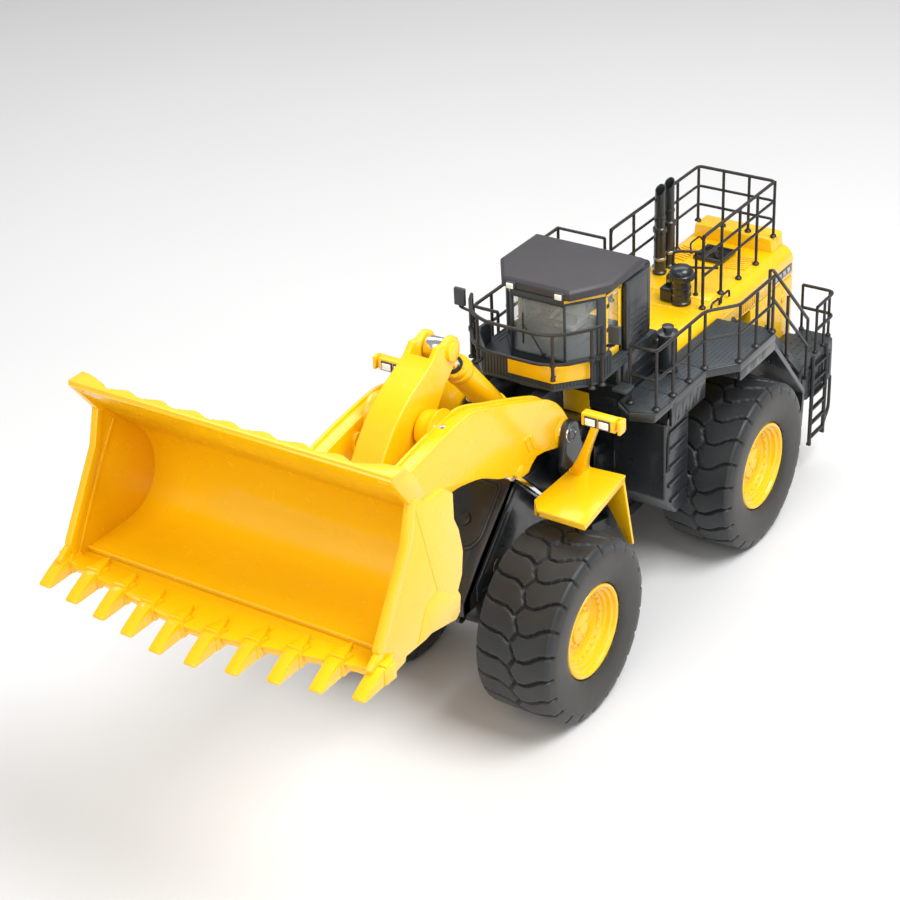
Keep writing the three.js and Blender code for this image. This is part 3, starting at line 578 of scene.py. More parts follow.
def add_bucket():
    piece = Piece("bucket_look", YELLOW)
    floor = [(210.8, 114.4), (200, 114.6), (190.5, 114.9)]
    bowl = smooth_line([(190.5, 114.9), (185, 115.7), (180.2, 117.9), (176.4, 121.8), (174.2, 127.2),
                        (173.8, 133), (175.1, 138.8), (178.2, 144.2), (183.6, 149.8)], 5)
    inside = floor[:2] + bowl
    outside = smooth_line([(181.9, 151.2), (176.3, 145.6), (172.8, 139.6), (171.3, 133), (171.8, 126.4),
                           (174.4, 120), (179, 114.6), (185, 111.6), (192, 110.8)], 5) + [(210.8, 110.7)]
    piece.prism(inside + outside, -61.9, 61.9, bevel=0.0)
    # Spill guard: a plate leaning forward with a thick front lip and a flat cap that widens at each end.
    guard = [(181.7, 151.4), (183.9, 149.4), (206.6, 172.6), (207.3, 174.1), (206.2, 175.4), (204.6, 175.0)]
    piece.prism(guard, -61.9, 61.9)
    piece.prism([(204.4, 172.6), (206.4, 172.4), (208.0, 174.6), (206.4, 175.8), (204.4, 175.4)], -63.9,
                63.9, bevel=0.4)
    # The cap's rear edge waves between the stiffeners and widens at each end.
    wave = [(204.3 + 1.1 * math.cos(2 * math.pi * (y - 7) / 14), y)
            for y in [k * 1.75 - 49 for k in range(57)]]
    cap = [(207.4, -64.1), (207.4, 64.1), (200.0, 64.1), (201.4, 57),
           (204.9, 50.5)] + wave[::-1] + [(204.9, -50.5), (201.4, -57), (200.0, -64.1)]
    piece.prism(cap, 174.2, 175.95, plane="xy", bevel=0.25)
    for k in range(8):
        y = -49 + 14 * k
        piece.prism([(182.6, 153.2), (185.4, 151.4), (204.6, 171.0), (204.4, 174.8), (202.6, 174.4),
                 (182.0, 155.4)], y - 0.8, y + 0.8, bevel=0.25)
    # Weld bead where the edge meets the floor, a wear strip on the back wall and a seam under the guard.
    piece.tube([(210.6, -61.7, 114.5), (210.6, 61.7, 114.5)], 0.6)
    piece.tube([(184.2, -61.7, 150.2), (184.2, 61.7, 150.2)], 0.3)
    piece.tube([(193.4, -61.7, 159.4), (193.4, 61.7, 159.4)], 0.22)
    outer = [(217, 108.2), (217, 119.7), (219.4, 120.2), (201.6, 149), (197.6, 163.4), (194.6, 162.4),
             (190.2, 158.6), (180.2, 158.2), (175.4, 154.2), (175.3, 144.6), (172.9, 139.4), (171.1, 130.5),
             (172.2, 122), (174.8, 117.4), (173.6, 115.4), (174.4, 108.9), (176.6, 107.2), (190.8, 110.2),
             (193.9, 109.7), (205, 110), (205.5, 108.2), (214.6, 107.2)]
    for side in (1, -1):
        piece.prism(outer, *on_side(side, 61.7, 64.0), bevel=0.45)
        # Inner ridge beside the leading edge and the doubled leading edge itself.
        ridge = [(216.4, 114.6), (214.6, 115.6), (206.8, 128.4), (200.2, 140.6), (190.6, 154.2),
                 (191.4, 155.4), (201.4, 141.4), (208.4, 129)]
        piece.prism(ridge, *on_side(side, 61.1, 61.9), bevel=0.2)
        lead = [(217.8, 113.4), (219.5, 120.2), (201.8, 149), (197.7, 163.4), (195.0, 162.4),
                (198.6, 147.6), (214.4, 121.4)]
        piece.prism(lead, *on_side(side, 61.2, 64.15), bevel=0.5)
        # Raised wear plate low on the outside, with a crease.
        wear = [(173.9, 115.2), (174.6, 109.2), (176.8, 107.6), (190.6, 110.6), (198.6, 110.6),
                (193.6, 121.6), (186.5, 124.2)]
        piece.prism(wear, *on_side(side, 63.8, 64.18), bevel=0.25)
        piece.tube([(193.4, side * 64.0, 121.6), (190.8, side * 64.0, 110.7)], 0.28)
        piece.tube([(196.8, side * 64.0, 161.6), (186.5, side * 64.0, 124.2), (174.4, side * 64.0, 115.4)],
                   0.2, corner=0.5)
        piece.prism([(197.2, 160.0), (199.6, 163.4), (207.2, 173.4), (207.2, 175.9), (200.2, 175.9),
                 (194.4, 169.4), (190.0, 160.8)], *on_side(side, 60.9, 63.8), bevel=0.4)
        piece.prism([(203.0, 171.4), (206.9, 172.6), (206.9, 175.5), (203.0, 175.5)],
                    *on_side(side, 58.5, 62.5), bevel=0.0)
    # Hinge ears, link ears and the back rib that ties them together.
    for y0, y1 in ((21.0, 23.6), (10.4, 12.9)):
        for side in (1, -1):
            ear = arc(*BUCKET_PIVOT, 6.2, 95, 262, 20) + [(180, 110.4), (174.6, 119), (171.6, 128)]
            piece.prism(ear, *on_side(side, y0, y1), bevel=0.45)
    for side in (1, -1):
        ear = arc(*LINK_EYE, 4.6, 75, 255, 20) + [(174, 126.4), (173.0, 133), (174.6, 138.6)]
        piece.prism(ear, *on_side(side, 4.0, 6.6), bevel=0.4)
        piece.pin(*BUCKET_PIVOT, 3.0, side * 12.6, side * 22.4, CHROME)
        piece.pin(*BUCKET_PIVOT, 3.9, side * 23.4, side * 24.1)
        piece.pin(*LINK_EYE, 2.6, side * 6.2, side * 7.7, CHROME, sides=24)
    rear = [(171.8, 124), (173.6, 120.2), (178, 115.4), (179, 116), (174.8, 120.9), (173, 124.4)]
    piece.prism(rear, -30, 30, bevel=0.3)
    for y in (-45, -30, 30, 45):
        spine = [(181.6, 151.6), (176.0, 146.0), (172.4, 139.8), (170.9, 133), (171.4, 126.2),
                 (174.0, 119.7), (178.7, 114.2), (184.8, 111.2), (185, 112.4), (179, 115.6), (174.6, 121),
                 (172.6, 127), (172.2, 133), (173.6, 139.2), (177, 145), (182.6, 150.6)]
        piece.prism(spine, y - 0.9, y + 0.9, bevel=0.3)
    piece.done("bucket", "yellow_paint", "bucket")


def add_cutting_edge():
    piece = Piece("edge_look", YELLOW)
    blade = [(211.4, 64.1), (219.5, 64.1), (230.4, 6), (230.4, -6), (219.5, -64.1), (211.4, -64.1)]
    piece.prism(blade, 110.9, 113.5, plane="xy", bevel=0.4)
    piece.prism([(x + 0.9, y * 0.99) if x > 212 else (x + 3, y * 0.97) for x, y in blade], 113.3, 114.1,
            plane="xy")
    for k in range(10):
        y = (k - 4.5) * 14.2
        tip = 244.3 - 0.2 * abs(y)
        back = tip - 15
        # Adapter: a spike that runs back over the floor, a collar and a flared lower jaw.
        top = [(back - 6.2, y), (back - 0.6, y - 2.2), (back + 3.4, y - 2.6), (back + 3.4, y + 2.6),
               (back - 0.6, y + 2.2)]
        if back - 6.2 < 211.5:
            top[0] = (max(back - 6.2, 211.6), y)
        piece.prism(top, 113.2, 116.0, plane="xy", bevel=0.45)
        jaw = [(back - 1.6, y - 3.4), (back + 4.2, y - 2.9), (back + 4.2, y + 2.9), (back - 1.6, y + 3.4)]
        piece.prism(jaw, 109.3, 115.2, plane="xy", bevel=0.55)
        piece.prism(rect(back + 1.6, back + 3.4, y - 3.0, y + 3.0), 109.0, 116.2, plane="xy", bevel=0.5)
        rings = []
        for x, half, z0, z1 in ((back + 2.6, 2.55, 109.3, 115.7), (back + 6.0, 2.4, 109.0, 114.9),
                                (back + 11, 2.3, 108.9, 112.6), (tip - 0.9, 2.35, 109.0, 110.7),
                                (tip, 2.3, 109.3, 110.2)):
            rings.append([(x, y - half, z0), (x, y + half, z0), (x, y + half, z1), (x, y - half, z1)])
        piece.loft(rings, bevel=0.4)
    for k in range(9):
        y = (k - 4) * 14.2
        front = 229.6 - 0.172 * abs(y)
        piece.prism([(front - 7, y - 3.6), (front - 0.4, y - 3.4), (front - 0.4, y + 3.4),
                 (front - 7, y + 3.6)], 109.6, 111.2, plane="xy")
        piece.tube([(front - 0.2, y - 4.4, 112.5), (front - 0.2, y + 4.4, 112.5)], 1.15)
        for h in (-1.9, 1.9):
            piece.box(front - 1.6, front + 1.0, y + h - 0.5, y + h + 0.5, 113.0, 114.0, bevel=0.2)
    for side in (1, -1):
        cheek = [(217.4, 110.9), (222.6, 110.9), (224.4, 116.4), (219.7, 119.3), (217.4, 119.1)]
        piece.prism(cheek, *on_side(side, 61.9, 64.2), bevel=0.45)
    piece.done("bucket", "yellow_paint", "cutting_edge")


add_bucket()
add_cutting_edge()


# ---------------------------------------------------------------- boom and linkage
def add_boom():
    piece = Piece("boom_look", YELLOW)
    top = smooth_line([(40.6, 110.7), (46, 114.6), (52, 117.4), (58, 119.8), (69.8, 124.4), (80.9, 128.4),
                       (91, 132.4), (97.5, 134.2), (104, 134.3), (117.3, 133), (136.1, 130.0),
                       (152, 126.2)], 3)
    bottom = smooth_line([(150, 108.6), (130, 108.9), (112.7, 109.1), (104.2, 107.8), (93.4, 104.7),
                          (82.5, 98.9), (75.4, 96.2)], 3)
    eye = [(72.4, 95.4), (69.4, 92.6), (65.6, 91.4), (61.9, 91.2), (59.5, 93.4), (55.8, 95.3), (49.9, 94.3),
           (44, 92.4), (40.2, 91.4)]
    outline = (arc(*BOOM_PIVOT, 7.2, 262, 196, 8) + [(33.0, 101.1), (36.6, 106.4)] + top
               + arc(*BUCKET_PIVOT, 7, 80, -80, 18) + bottom + eye)
    cheek_in, cheek_out = 14.5, 19.3
    for y0, y1 in ((ARM_IN, cheek_in), (cheek_out, ARM_OUT)):
        piece.prism(outline, y0, y1, bevel=0.5, segments=3)
    core_top = [(37.6, 105.8), (41, 109.6), (52, 116.2), (60, 119.2), (69.2, 123.0), (92, 131.4),
                (104, 133.0), (117.2, 131.9), (136, 128.8), (151, 125)]
    core_low = [(150, 109.8), (130, 110.2), (111.4, 110.3), (99.6, 107.8), (80, 99.8), (76, 99),
                (69.4, 100.4), (63, 97.5), (57, 96.6), (47, 95.0)]
    core = (arc(*BOOM_PIVOT, 6.2, 236, 170, 8) + core_top + arc(*BUCKET_PIVOT, 6.4, 80, -80, 12)
            + core_low)
    piece.prism(core, cheek_in - 0.2, cheek_out + 0.2, bevel=0.0)
    # Bosses round each pin, and two short ribs on the outer face.
    piece.pin(*BUCKET_PIVOT, 6.0, ARM_OUT - 0.1, ARM_OUT + 0.18, bevel=0.1)
    piece.pin(*BOOM_PIVOT, 5.4, ARM_IN - 0.12, ARM_OUT + 0.12, bevel=0.2)
    piece.pin(LIFT_EYE[0] - 1.6, LIFT_EYE[1] + 0.6, 2.7, ARM_OUT - 0.1, ARM_OUT + 0.2, bevel=0.15)
    piece.tube([(57.5, ARM_OUT - 0.2, 100.5), (60.5, ARM_OUT - 0.2, 106.5)], 0.9)
    piece.tube([(61.0, ARM_OUT - 0.2, 100.8), (64.0, ARM_OUT - 0.2, 106.8)], 0.9)
    # Large cast boss that carries the bellcrank pin.
    piece.lathe([(0, 6.8), (5.4, 6.8), (6.4, 7.2), (7.0, 8.2), (7.2, 10.2), (7.6, 12.4), (8.4, 13.6),
             (8.4, 14.2), (0, 14.2)], (CRANK_PIVOT[0], 0, CRANK_PIVOT[1]), segments=56)
    # Small stop lug and hose clips inside the arm.
    piece.prism(arc(122, 126, 3.0, 0, 180, 10) + [(119, 118), (125, 118)], 11.6, ARM_IN + 0.2)
    for x, z in ((86, 121), (98, 124.5)):
        piece.box(x - 0.8, x + 0.8, 12.3, ARM_IN + 0.1, z - 1.4, z + 1.4, STEEL, bevel=0.15)
    piece.mirror()
    piece.rod((97, -13.4, 113), (97, 13.4, 113), 4.5, sides=36, bevel=0.2)
    for y in (-9, 9):
        piece.lathe([(4.5, -1.2), (5.2, -0.8), (5.2, 0.8), (4.5, 1.2)], (97, y, 113), segments=36)
    piece.done("boom", "yellow_paint", "boom")


def add_bellcrank_pin():
    piece = Piece("bellcrank_pin_look", CHROME)
    piece.pin(*CRANK_PIVOT, 3.0, -16.4, 16.4)
    piece.done("boom", "bright_steel", "bellcrank_pin")


def add_bellcrank():
    piece = Piece("bellcrank_look", YELLOW)
    spine = smooth_line([(96.4, 155.6), (101.5, 151.2), (109, 147.6), (116.4, 144), (124, 138.6),
                         (131, 131), (137, 123.6), (148, 116.4)], 4)
    belly = smooth_line([(141.5, 107.2), (134, 111.8), (126, 117.6), (118, 121.2)], 4)
    outline = (arc(*CRANK_TOP, 5.6, 226, 50, 22) + spine + arc(*CRANK_FOOT, 5.4, 60, -112, 16)
               + belly + arc(*CRANK_PIVOT, 8.5, -52, -140, 12)
               + [(99, 131.5), (93.6, 138.6), (86.6, 144.6)])
    for y0, y1 in ((3.9, 6.5), (-6.5, -3.9)):
        piece.prism(outline, y0, y1, bevel=0.75, segments=4)
    # Solid between the cheeks, from the root of the fork to the root of the clevis at the foot.
    web = ([(x + 0.02, z + 0.03) for x, z in spine if 99 < x < 139] + [(140.2, 119.6), (140.2, 108.6)]
           + [(x - 0.02, z - 0.03) for x, z in belly[1:]] + arc(*CRANK_PIVOT, 8.53, -52, -140, 12)
           + [(98.8, 131.7), (95.6, 136.0)])
    piece.prism(web, -5.8, 5.8, bevel=0.0)
    for side in (1, -1):
        y = side * 6.35
        piece.pin(*CRANK_TOP, 3.6, y - side * 0.4, y + side * 1.4, bevel=0.45)
        piece.pin(*CRANK_FOOT, 3.4, y - side * 0.4, y + side * 0.25, bevel=0.1)
    piece.pin(*CRANK_FOOT, 2.0, -6.3, 6.3, STEEL, sides=20)
    piece.done("bellcrank", "yellow_paint", "bellcrank")


def add_bucket_link():
    piece = Piece("bucket_link_look", STEEL)
    piece.prism(strap(CRANK_FOOT, LINK_EYE, 4.2, 3.9), -3.4, 3.4, YELLOW, bevel=0.5, segments=3)
    piece.pin(*CRANK_FOOT, 2.3, -3.5, 3.5, sides=20, bevel=0.1)
    piece.pin(*LINK_EYE, 2.4, -3.5, 3.5, sides=20, bevel=0.1)
    piece.done("bucket_link", "yellow_paint", "bucket_link")


def along(a, b, d, y=0.0):
    """The same in space, with the line in the XZ plane at y."""
    x, z = between(a, b, d)
    return (x, y, z)


def add_tilt_barrel():
    piece = Piece("tilt_barrel_look", YELLOW)
    piece.pin(*TILT_BASE, 4.8, -5.4, 5.4, sides=36, bevel=0.4)
    piece.bar(TILT_BASE, CRANK_TOP, 3, 44.5, 5.1, sides=48, bevel=0.3)
    piece.bar(TILT_BASE, CRANK_TOP, 7, 9.4, 5.5, sides=48, bevel=0.4)
    piece.bar(TILT_BASE, CRANK_TOP, 41, 44, 5.55, sides=48, bevel=0.3)
    piece.bar(TILT_BASE, CRANK_TOP, 44, 47, 5.1, sides=48, bevel=0.7)
    piece.bar(TILT_BASE, CRANK_TOP, 46.6, 47.2, 3.6, BLACK, sides=32, bevel=0.1)
    head = Vector(along(TILT_BASE, CRANK_TOP, 42.6))
    way = (Vector(along(TILT_BASE, CRANK_TOP, 47)) - Vector(along(TILT_BASE, CRANK_TOP, 0))).normalized()
    side = Vector((0, 1, 0))
    up = side.cross(way) * -1
    for t in turns(10):
        out = side * math.cos(t) + up * math.sin(t)
        piece.bolt(head + way * 4.2 + out * 4.3, way, 0.42, height=0.4)
    piece.tube([along(TILT_BASE, CRANK_TOP, 12, -4.9), along(TILT_BASE, CRANK_TOP, 14, -6.0),
            along(TILT_BASE, CRANK_TOP, 36, -6.0), along(TILT_BASE, CRANK_TOP, 38, -4.9)], 0.5, STEEL)
    piece.done("tilt_barrel", "yellow_paint", "tilt_barrel")


def add_tilt_rod():
    piece = Piece("tilt_rod_look", CHROME)
    piece.pin(*CRANK_TOP, 4.1, -3.4, 3.4, sides=40, bevel=0.4)
    piece.bar(CRANK_TOP, TILT_BASE, 2, 42, 2.5, sides=36)
    piece.done("tilt_rod", "bright_steel", "tilt_rod")


def add_lift_cylinder(name, side):
    y = side * LIFT_Y
    barrel = Piece(f"lift_barrel_{name}_look", BLACK)
    barrel.bar(LIFT_BASE, LIFT_EYE, -23, 16.4, 3.4, y=y, sides=40, bevel=0.4)
    barrel.bar(LIFT_BASE, LIFT_EYE, -2.2, 2.2, 3.68, y=y, sides=40, bevel=0.3)
    barrel.bar(LIFT_BASE, LIFT_EYE, 12.8, 17, 3.68, y=y, sides=40, bevel=0.4)
    barrel.pin(*LIFT_BASE, 2.8, side * 9.7, side * 14.4, STEEL, sides=24)
    barrel.done(f"lift_barrel_{name}", "black_paint", f"lift_barrel_{name}")
    rod = Piece(f"lift_rod_{name}_look", CHROME)
    rod.pin(*LIFT_EYE, 3.0, y - 1.8, y + 1.8, sides=32, bevel=0.25)
    rod.bar(LIFT_EYE, LIFT_BASE, 1, 46.8, 1.85, y=y, sides=28)
    rod.done(f"lift_rod_{name}", "bright_steel", f"lift_rod_{name}")


add_boom()
add_bellcrank_pin()
add_bellcrank()
add_bucket_link()
add_tilt_barrel()
add_tilt_rod()
for lift_name, lift_side in SIDES:
    add_lift_cylinder(lift_name, lift_side)


# ---------------------------------------------------------------- front frame
def add_front_frame():
    piece = Piece("front_frame_look", BLACK)
    core = [(14, 24.4), (46, 24.4), (52, 30), (58, 38.2), (64, 43.8), (78.4, 43.8), (97, 43.8), (97, 50),
            (85, 63), (61, 86), (53.6, 97), (53.6, 107), (50, 110), (28, 110), (23.2, 104), (22.2, 88),
            (14, 78)]
    for side in (1, -1):
        piece.prism(core, *on_side(side, 7.2, 12.5), bevel=0.6, segments=3)
        # Raised border and a boss on each cheek, with a recessed panel between.
        rim_out = [(28, 84), (56, 84), (88, 53), (88, 46.2), (30, 46.2), (24, 52), (24, 78)]
        rim_in = [(30.5, 81), (54.6, 81), (84.6, 51.9), (84.6, 48.6), (31.4, 48.6), (27, 53), (27, 76.6)]
        piece.band(rim_out, rim_in, *on_side(side, 12.3, 12.95), plane="xz", bevel=0.25)
        piece.lathe([(0, 0), (3.6, 0), (3.4, 0.55), (2.2, 0.6), (2.0, 0.35), (0, 0.35)],
                    (72.5, side * 12.4, 53.6), side=side, segments=40)
        for x, z in ((40, 40), (52, 44), (30, 34)):
            piece.bolt((x, side * 12.4, z), (0, side, 0), 0.9, height=0.6)
        lug = arc(35.6, 96.5, 5.0, 180, 0, 20) + [(42, 84), (36, 70), (28, 64.4), (19.4, 64.4),
                                                  (19.4, 83.6), (27.4, 84.6)]
        piece.prism(lug, *on_side(side, 21.05, 24.4), bevel=0.6, segments=3)
        piece.lathe([(0, 0), (3.3, 0), (3.2, 0.45), (2.8, 0.5), (2.6, 0.8), (2.0, 0.9), (1.8, 0.7),
                     (0, 0.7)], (BOOM_PIVOT[0], side * 24.35, BOOM_PIVOT[1]), side=side, segments=44)
        piece.bolt((BOOM_PIVOT[0] - 1.6, side * 25.1, BOOM_PIVOT[1] + 0.2), (0, side, 0), 0.6, STEEL,
                   height=0.35)
        piece.pin(*BOOM_PIVOT, 3.45, side * 9.6, side * 24.6, CHROME, sides=32)
        piece.tube([(24, side * 22.8, 84.4), (31.0, side * 22.8, 92.5)], 0.6)
    # Front face: a sloping plate with a recessed frame, a boss and two tow eyes.
    face = [(96.9, 44), (96.9, 50), (84.9, 63), (61, 86), (54, 96), (52, 94), (58, 84), (82, 60), (92, 50),
            (92, 44)]
    piece.prism(face, -12.5, 12.5, bevel=0.5, segments=3)
    slope = Vector((84.9 - 61, 0, 63 - 86)).normalized()
    out = Vector((slope.z * -1, 0, slope.x))
    base = Vector((61, 0, 86))
    corner = []
    for d, w in ((3, 9.6), (26, 9.6), (31, 6.6), (31, -6.6), (26, -9.6), (3, -9.6)):
        corner.append(base + slope * d + out * 0.15 + Vector((0, w, 0)))
    piece.tube(corner, 0.55, closed=True, corner=2.2)
    inner = [c * 0.9 + (base + slope * 16 + out * 0.15) * 0.1 for c in corner]
    piece.tube(inner, 0.3, closed=True, corner=2)
    centre = base + slope * 20 + out * 0.1
    piece.rod(centre, centre + out * 0.9, 2.7, sides=36, bevel=0.3)
    piece.rod(centre + out * 0.8, centre + out * 1.2, 1.6, sides=30)
    for y in (-9, 9):
        piece.lathe(rect(1.4, 2.6, -0.8, 0.8), (93.6, y, 41.6), segments=28)
        piece.box(90.4, 95.2, y - 0.8, y + 0.8, 42.6, 46, bevel=0.2)
    piece.prism([(14, 24.4), (46, 24.4), (52, 30), (58, 38.2), (60, 49.8), (40, 52), (22, 90), (14, 78)],
                -7.4, 7.4, bevel=0.3)
    piece.prism([(22.2, 88), (40, 52), (60, 50), (60, 84), (54, 95.2), (30, 95.2), (23.2, 104)], -7.4, 7.4,
            bevel=0.3)
    piece.box(19.2, 27, -24.4, 24.4, 64.4, 83.6, bevel=0.6, segments=3)
    piece.pin(*TILT_BASE, 2.5, -12.2, 12.2, CHROME)
    for y in (-12.4, 12.4):
        piece.pin(*TILT_BASE, 3.9, y - 0.5, y + 0.5, sides=32)
    for z0, z1 in ((66, 72), (30, 36)):
        piece.band(circle(HINGE_R), circle(HINGE_BORE), z0, z1, bevel=0.3)
        piece.prism([(5.4, 8.5), (16, 10.5), (16, -10.5), (5.4, -8.5), (6.6, 0)], z0, z1, plane="xy",
                    bevel=0.4)
    # Hydraulic fitting and hoses at the root of the tilt cylinder.
    piece.rod((51.0, -9.6, 110.0), (51.0, -9.6, 112.6), 1.5, STEEL, sides=6, bevel=0.2)
    piece.rod((51.0, -9.6, 111.4), (55.4, -9.6, 111.4), 1.1, CHROME, bevel=0.2)
    for k, y in enumerate((-11.6, -9.4, 9.4, 11.6)):
        piece.tube([(50 + k * 0.4, y, 109.6), (53.6, y, 111.6), (57.6, y * 0.98, 106), (58.4, y * 0.96, 96),
                (60.4, y * 0.96, 88.6)], 0.62, RAIL, corner=3)
    piece.done("front_frame", "black_paint", "front_frame")


def add_front_axle():
    axle = Piece("front_axle_look", BLACK)
    casing(axle, AXLE_X)
    axle.box(64.2, 77.8, 13.1, 19.9, 39, 43.8, bevel=0.5)
    axle.box(64.2, 77.8, -19.9, -13.1, 39, 43.8, bevel=0.5)
    axle.done("front_frame", "black_paint", "front_axle")


def add_fender(name, side):
    piece = Piece(f"front_fender_{name}_look", YELLOW)
    top = [(66.2, 25.6), (71.5, 29.7), (71.8, 50.4), (33.1, 45.9), (34.7, 25.6)]
    piece.prism(top, 81.7, 83.0, plane="xy")
    piece.prism([(71.0, 30.4), (71.3, 49.8), (70.0, 49.7), (69.8, 30.4)], 79.9, 82, plane="xy", bevel=0.25)
    piece.prism([(71.4, 50.2), (33.4, 45.8), (33.6, 44.8), (70.9, 49.1)], 79.9, 82, plane="xy", bevel=0.25)
    # Rear skirt: narrows downwards and outwards to a point.
    piece.prism([(25.8, 82.4), (45.6, 82.4), (50, 54.2), (47.2, 54.2), (40.6, 66), (34.2, 75.6),
                 (27.6, 79.4), (25.8, 79.6)], 33.7, 35.1, plane="yz", bevel=0.3)
    piece.box(34.2, 65.8, 25.0, 26.2, 76.2, 82.8)
    foot = Vector((38.5, 28.4, 82.8))
    head = Vector((49.3, 42.6, 112))
    rings = []
    for at, w in ((foot, 3.4), (foot.lerp(head, 0.3), 2.2), (foot.lerp(head, 0.6), 1.8), (head, 1.7)):
        rings.append([at + Vector((u, v, 0)) for u, v in rect(-w, w, -w * 0.8, w * 0.8)])
    piece.loft(rings, bevel=0.5)
    piece.box(35.0, 42.2, 26.0, 31.4, 82.6, 84.4, bevel=0.4)
    shell = [(48.4, 112.4), (52.4, 111.9), (53.2, 112.6), (53.2, 117.0), (52.6, 117.5), (49.4, 117.5),
             (48.4, 116.6)]
    piece.prism(shell, 38.3, 52.4)
    piece.box(48.5, 49.9, 51.8, 54.7, 112.3, 117.2, bevel=0.35)
    piece.box(49.2, 53.4, 53.5, 54.9, 112.0, 117.5, bevel=0.4)
    piece.sided(side).done("front_frame", "yellow_paint", f"front_fender_{name}")


def add_headlamp(name, side):
    lamp = Piece(f"headlamp_{name}_look", BLACK)
    lamp.box(53.1, 53.7, 39.8, 45.0, 112.8, 116.6, bevel=0.1)
    lamp.box(53.1, 53.7, 45.6, 50.6, 112.8, 116.6, bevel=0.1)
    lamp.box(53.6, 54.1, 40.3, 44.5, 113.3, 116.1, LENS, bevel=0.2)
    lamp.box(53.6, 54.1, 46.1, 50.1, 113.3, 116.1, LENS, bevel=0.2)
    lamp.sided(side).done("front_frame", "lens_white", f"headlamp_{name}")


def casing(piece, x):
    """Axle housing with its bolted flanges, across the machine at x."""
    profile = [(3, -44.2), (3, -34), (9, -33.5), (9.3, -33), (9.3, -29), (8.4, -28.4), (8.4, -26.4),
               (6.6, -24), (6.3, -15), (7.4, -10), (10, -7.5), (10.8, -6), (10.9, 0)]
    full = [(0, -44.2)] + profile + [(r, -a) for r, a in reversed(profile[:-1])] + [(0, 44.2)]
    piece.lathe(full, (x, 0, WHEEL_R), BLACK, segments=56)
    for side in (1, -1):
        piece.bolt_ring((x, side * 26.5, WHEEL_R), 7.9, 10, 0.55, BLACK, 0.5, way=-side)
    piece.bolt_ring((x, 6.6, WHEEL_R), 9.4, 12, 0.5, BLACK, 0.6)


add_front_frame()
add_front_axle()
for fender_name, fender_side in SIDES:
    add_fender(fender_name, fender_side)
    add_headlamp(fender_name, fender_side)


# ---------------------------------------------------------------- rear frame
def add_chassis():
    piece = Piece("rear_chassis_look", BLACK)
    outline = [(-14, 24.2), (-50, 24.2), (-56, 30), (-56, 50), (-86, 50), (-86, 30), (-92, 27.2),
               (-137.8, 38.2), (-137.8, 83.5), (-14, 83.5)]
    piece.prism(outline, -15.4, 15.4, bevel=0.6, segments=3)
    for side in (1, -1):
        frame_out = [(-17, 80), (-49, 80), (-49, 34), (-44, 28), (-17, 28)]
        frame_in = [(-19.5, 77.5), (-46.5, 77.5), (-46.5, 36), (-42.6, 30.5), (-19.5, 30.5)]
        piece.band(frame_out, frame_in, *on_side(side, 15.2, 15.9), plane="xz", bevel=0.2)
        for x in (-96, -108, -120, -132):
            piece.box(x - 1, x + 1, *on_side(side, 15.2, 16.0), 46, 82, bevel=0.25)
    for z0, z1 in ((73, 78), (60, 65), (37, 42), (24, 29)):
        piece.band(circle(HINGE_R), circle(HINGE_BORE), z0 + 0.1, z1 - 0.1, bevel=0.3)
        piece.prism([(-5.4, 8.5), (-16, 12), (-16, -12), (-5.4, -8.5), (-6.6, 0)], z0 + 0.1, z1 - 0.1,
                plane="xy", bevel=0.4)
    piece.done("rear_frame", "black_paint", "rear_chassis")


def add_articulation_pin():
    pin = Piece("articulation_pin_look", STEEL)
    pin.rod((0, 0, 23), (0, 0, 79), 3.5, CHROME, sides=36, bevel=0.4)
    pin.rod((0, 0, 78.3), (0, 0, 80.4), 6.0, sides=40, bevel=0.4)
    for t in turns(6):
        pin.bolt((4.4 * math.cos(t), 4.4 * math.sin(t), 80.3), (0, 0, 1), 0.6, height=0.2)
    pin.done("rear_frame", "bright_steel", "articulation_pin")


def add_rear_axle():
    axle = Piece("rear_axle_look", BLACK)
    casing(axle, -AXLE_X)
    axle.rod((-87.4, 0, WHEEL_R), (-54.6, 0, WHEEL_R), 3.95, sides=40, bevel=0.3)
    axle.done("rear_axle", "black_paint", "rear_axle")


def add_counterweight():
    piece = Piece("counterweight_look", YELLOW)
    back = [(-24.4, 46), (-24.4, 83.4), (24.4, 83.4), (24.4, 46), (20, 40.4), (-20, 40.4)]
    piece.prism(back, -156.9, -138.5, plane="yz", bevel=0.9, segments=3)
    for side in (1, -1):
        piece.prism([(-138.6, 47.4), (-138.6, 83.4), (-115.2, 83.4), (-115.2, 60), (-126, 47.4)],
                *on_side(side, 16.0, 24.4), bevel=0.6, segments=3)
        piece.lathe([(0, 0), (2.0, 0), (1.8, 0.5), (0, 0.6)], (-147, side * 24.3, 76), side=side,
                    segments=28)
    grille_out = [(-17, 52), (-17, 80), (17, 80), (17, 52)]
    grille_in = [(-15.4, 53.6), (-15.4, 78.4), (15.4, 78.4), (15.4, 53.6)]
    piece.band(grille_out, grille_in, -157.3, -156.4, plane="yz", bevel=0.2)
    for k in range(12):
        z = 54.6 + 2 * k
        piece.prism([(-157.1, z), (-156.6, z + 1.5), (-156.2, z + 1.5), (-156.6, z)], -15.4, 15.4, BLACK,
                bevel=0.0)
    piece.box(-157.35, -156.6, -3.4, 3.4, 42, 48.4, BLACK)
    piece.rod((-157.2, 0, 43.2), (-157.2, 0, 47.4), 0.9, STEEL, sides=18)
    for side in (1, -1):
        piece.box(-157.3, -156.6, *on_side(side, 18.6, 23.2), 74, 79, BLACK)
        piece.box(-157.4, -157.0, *on_side(side, 19.2, 20.7), 74.7, 78.3, RED, bevel=0.15)
        piece.box(-157.4, -157.0, *on_side(side, 21.1, 22.6), 74.7, 78.3, LENS, bevel=0.15)
    piece.done("rear_frame", "yellow_paint", "counterweight")


HOOD_TOP, HOOD_HALF = 97.5, 24.5


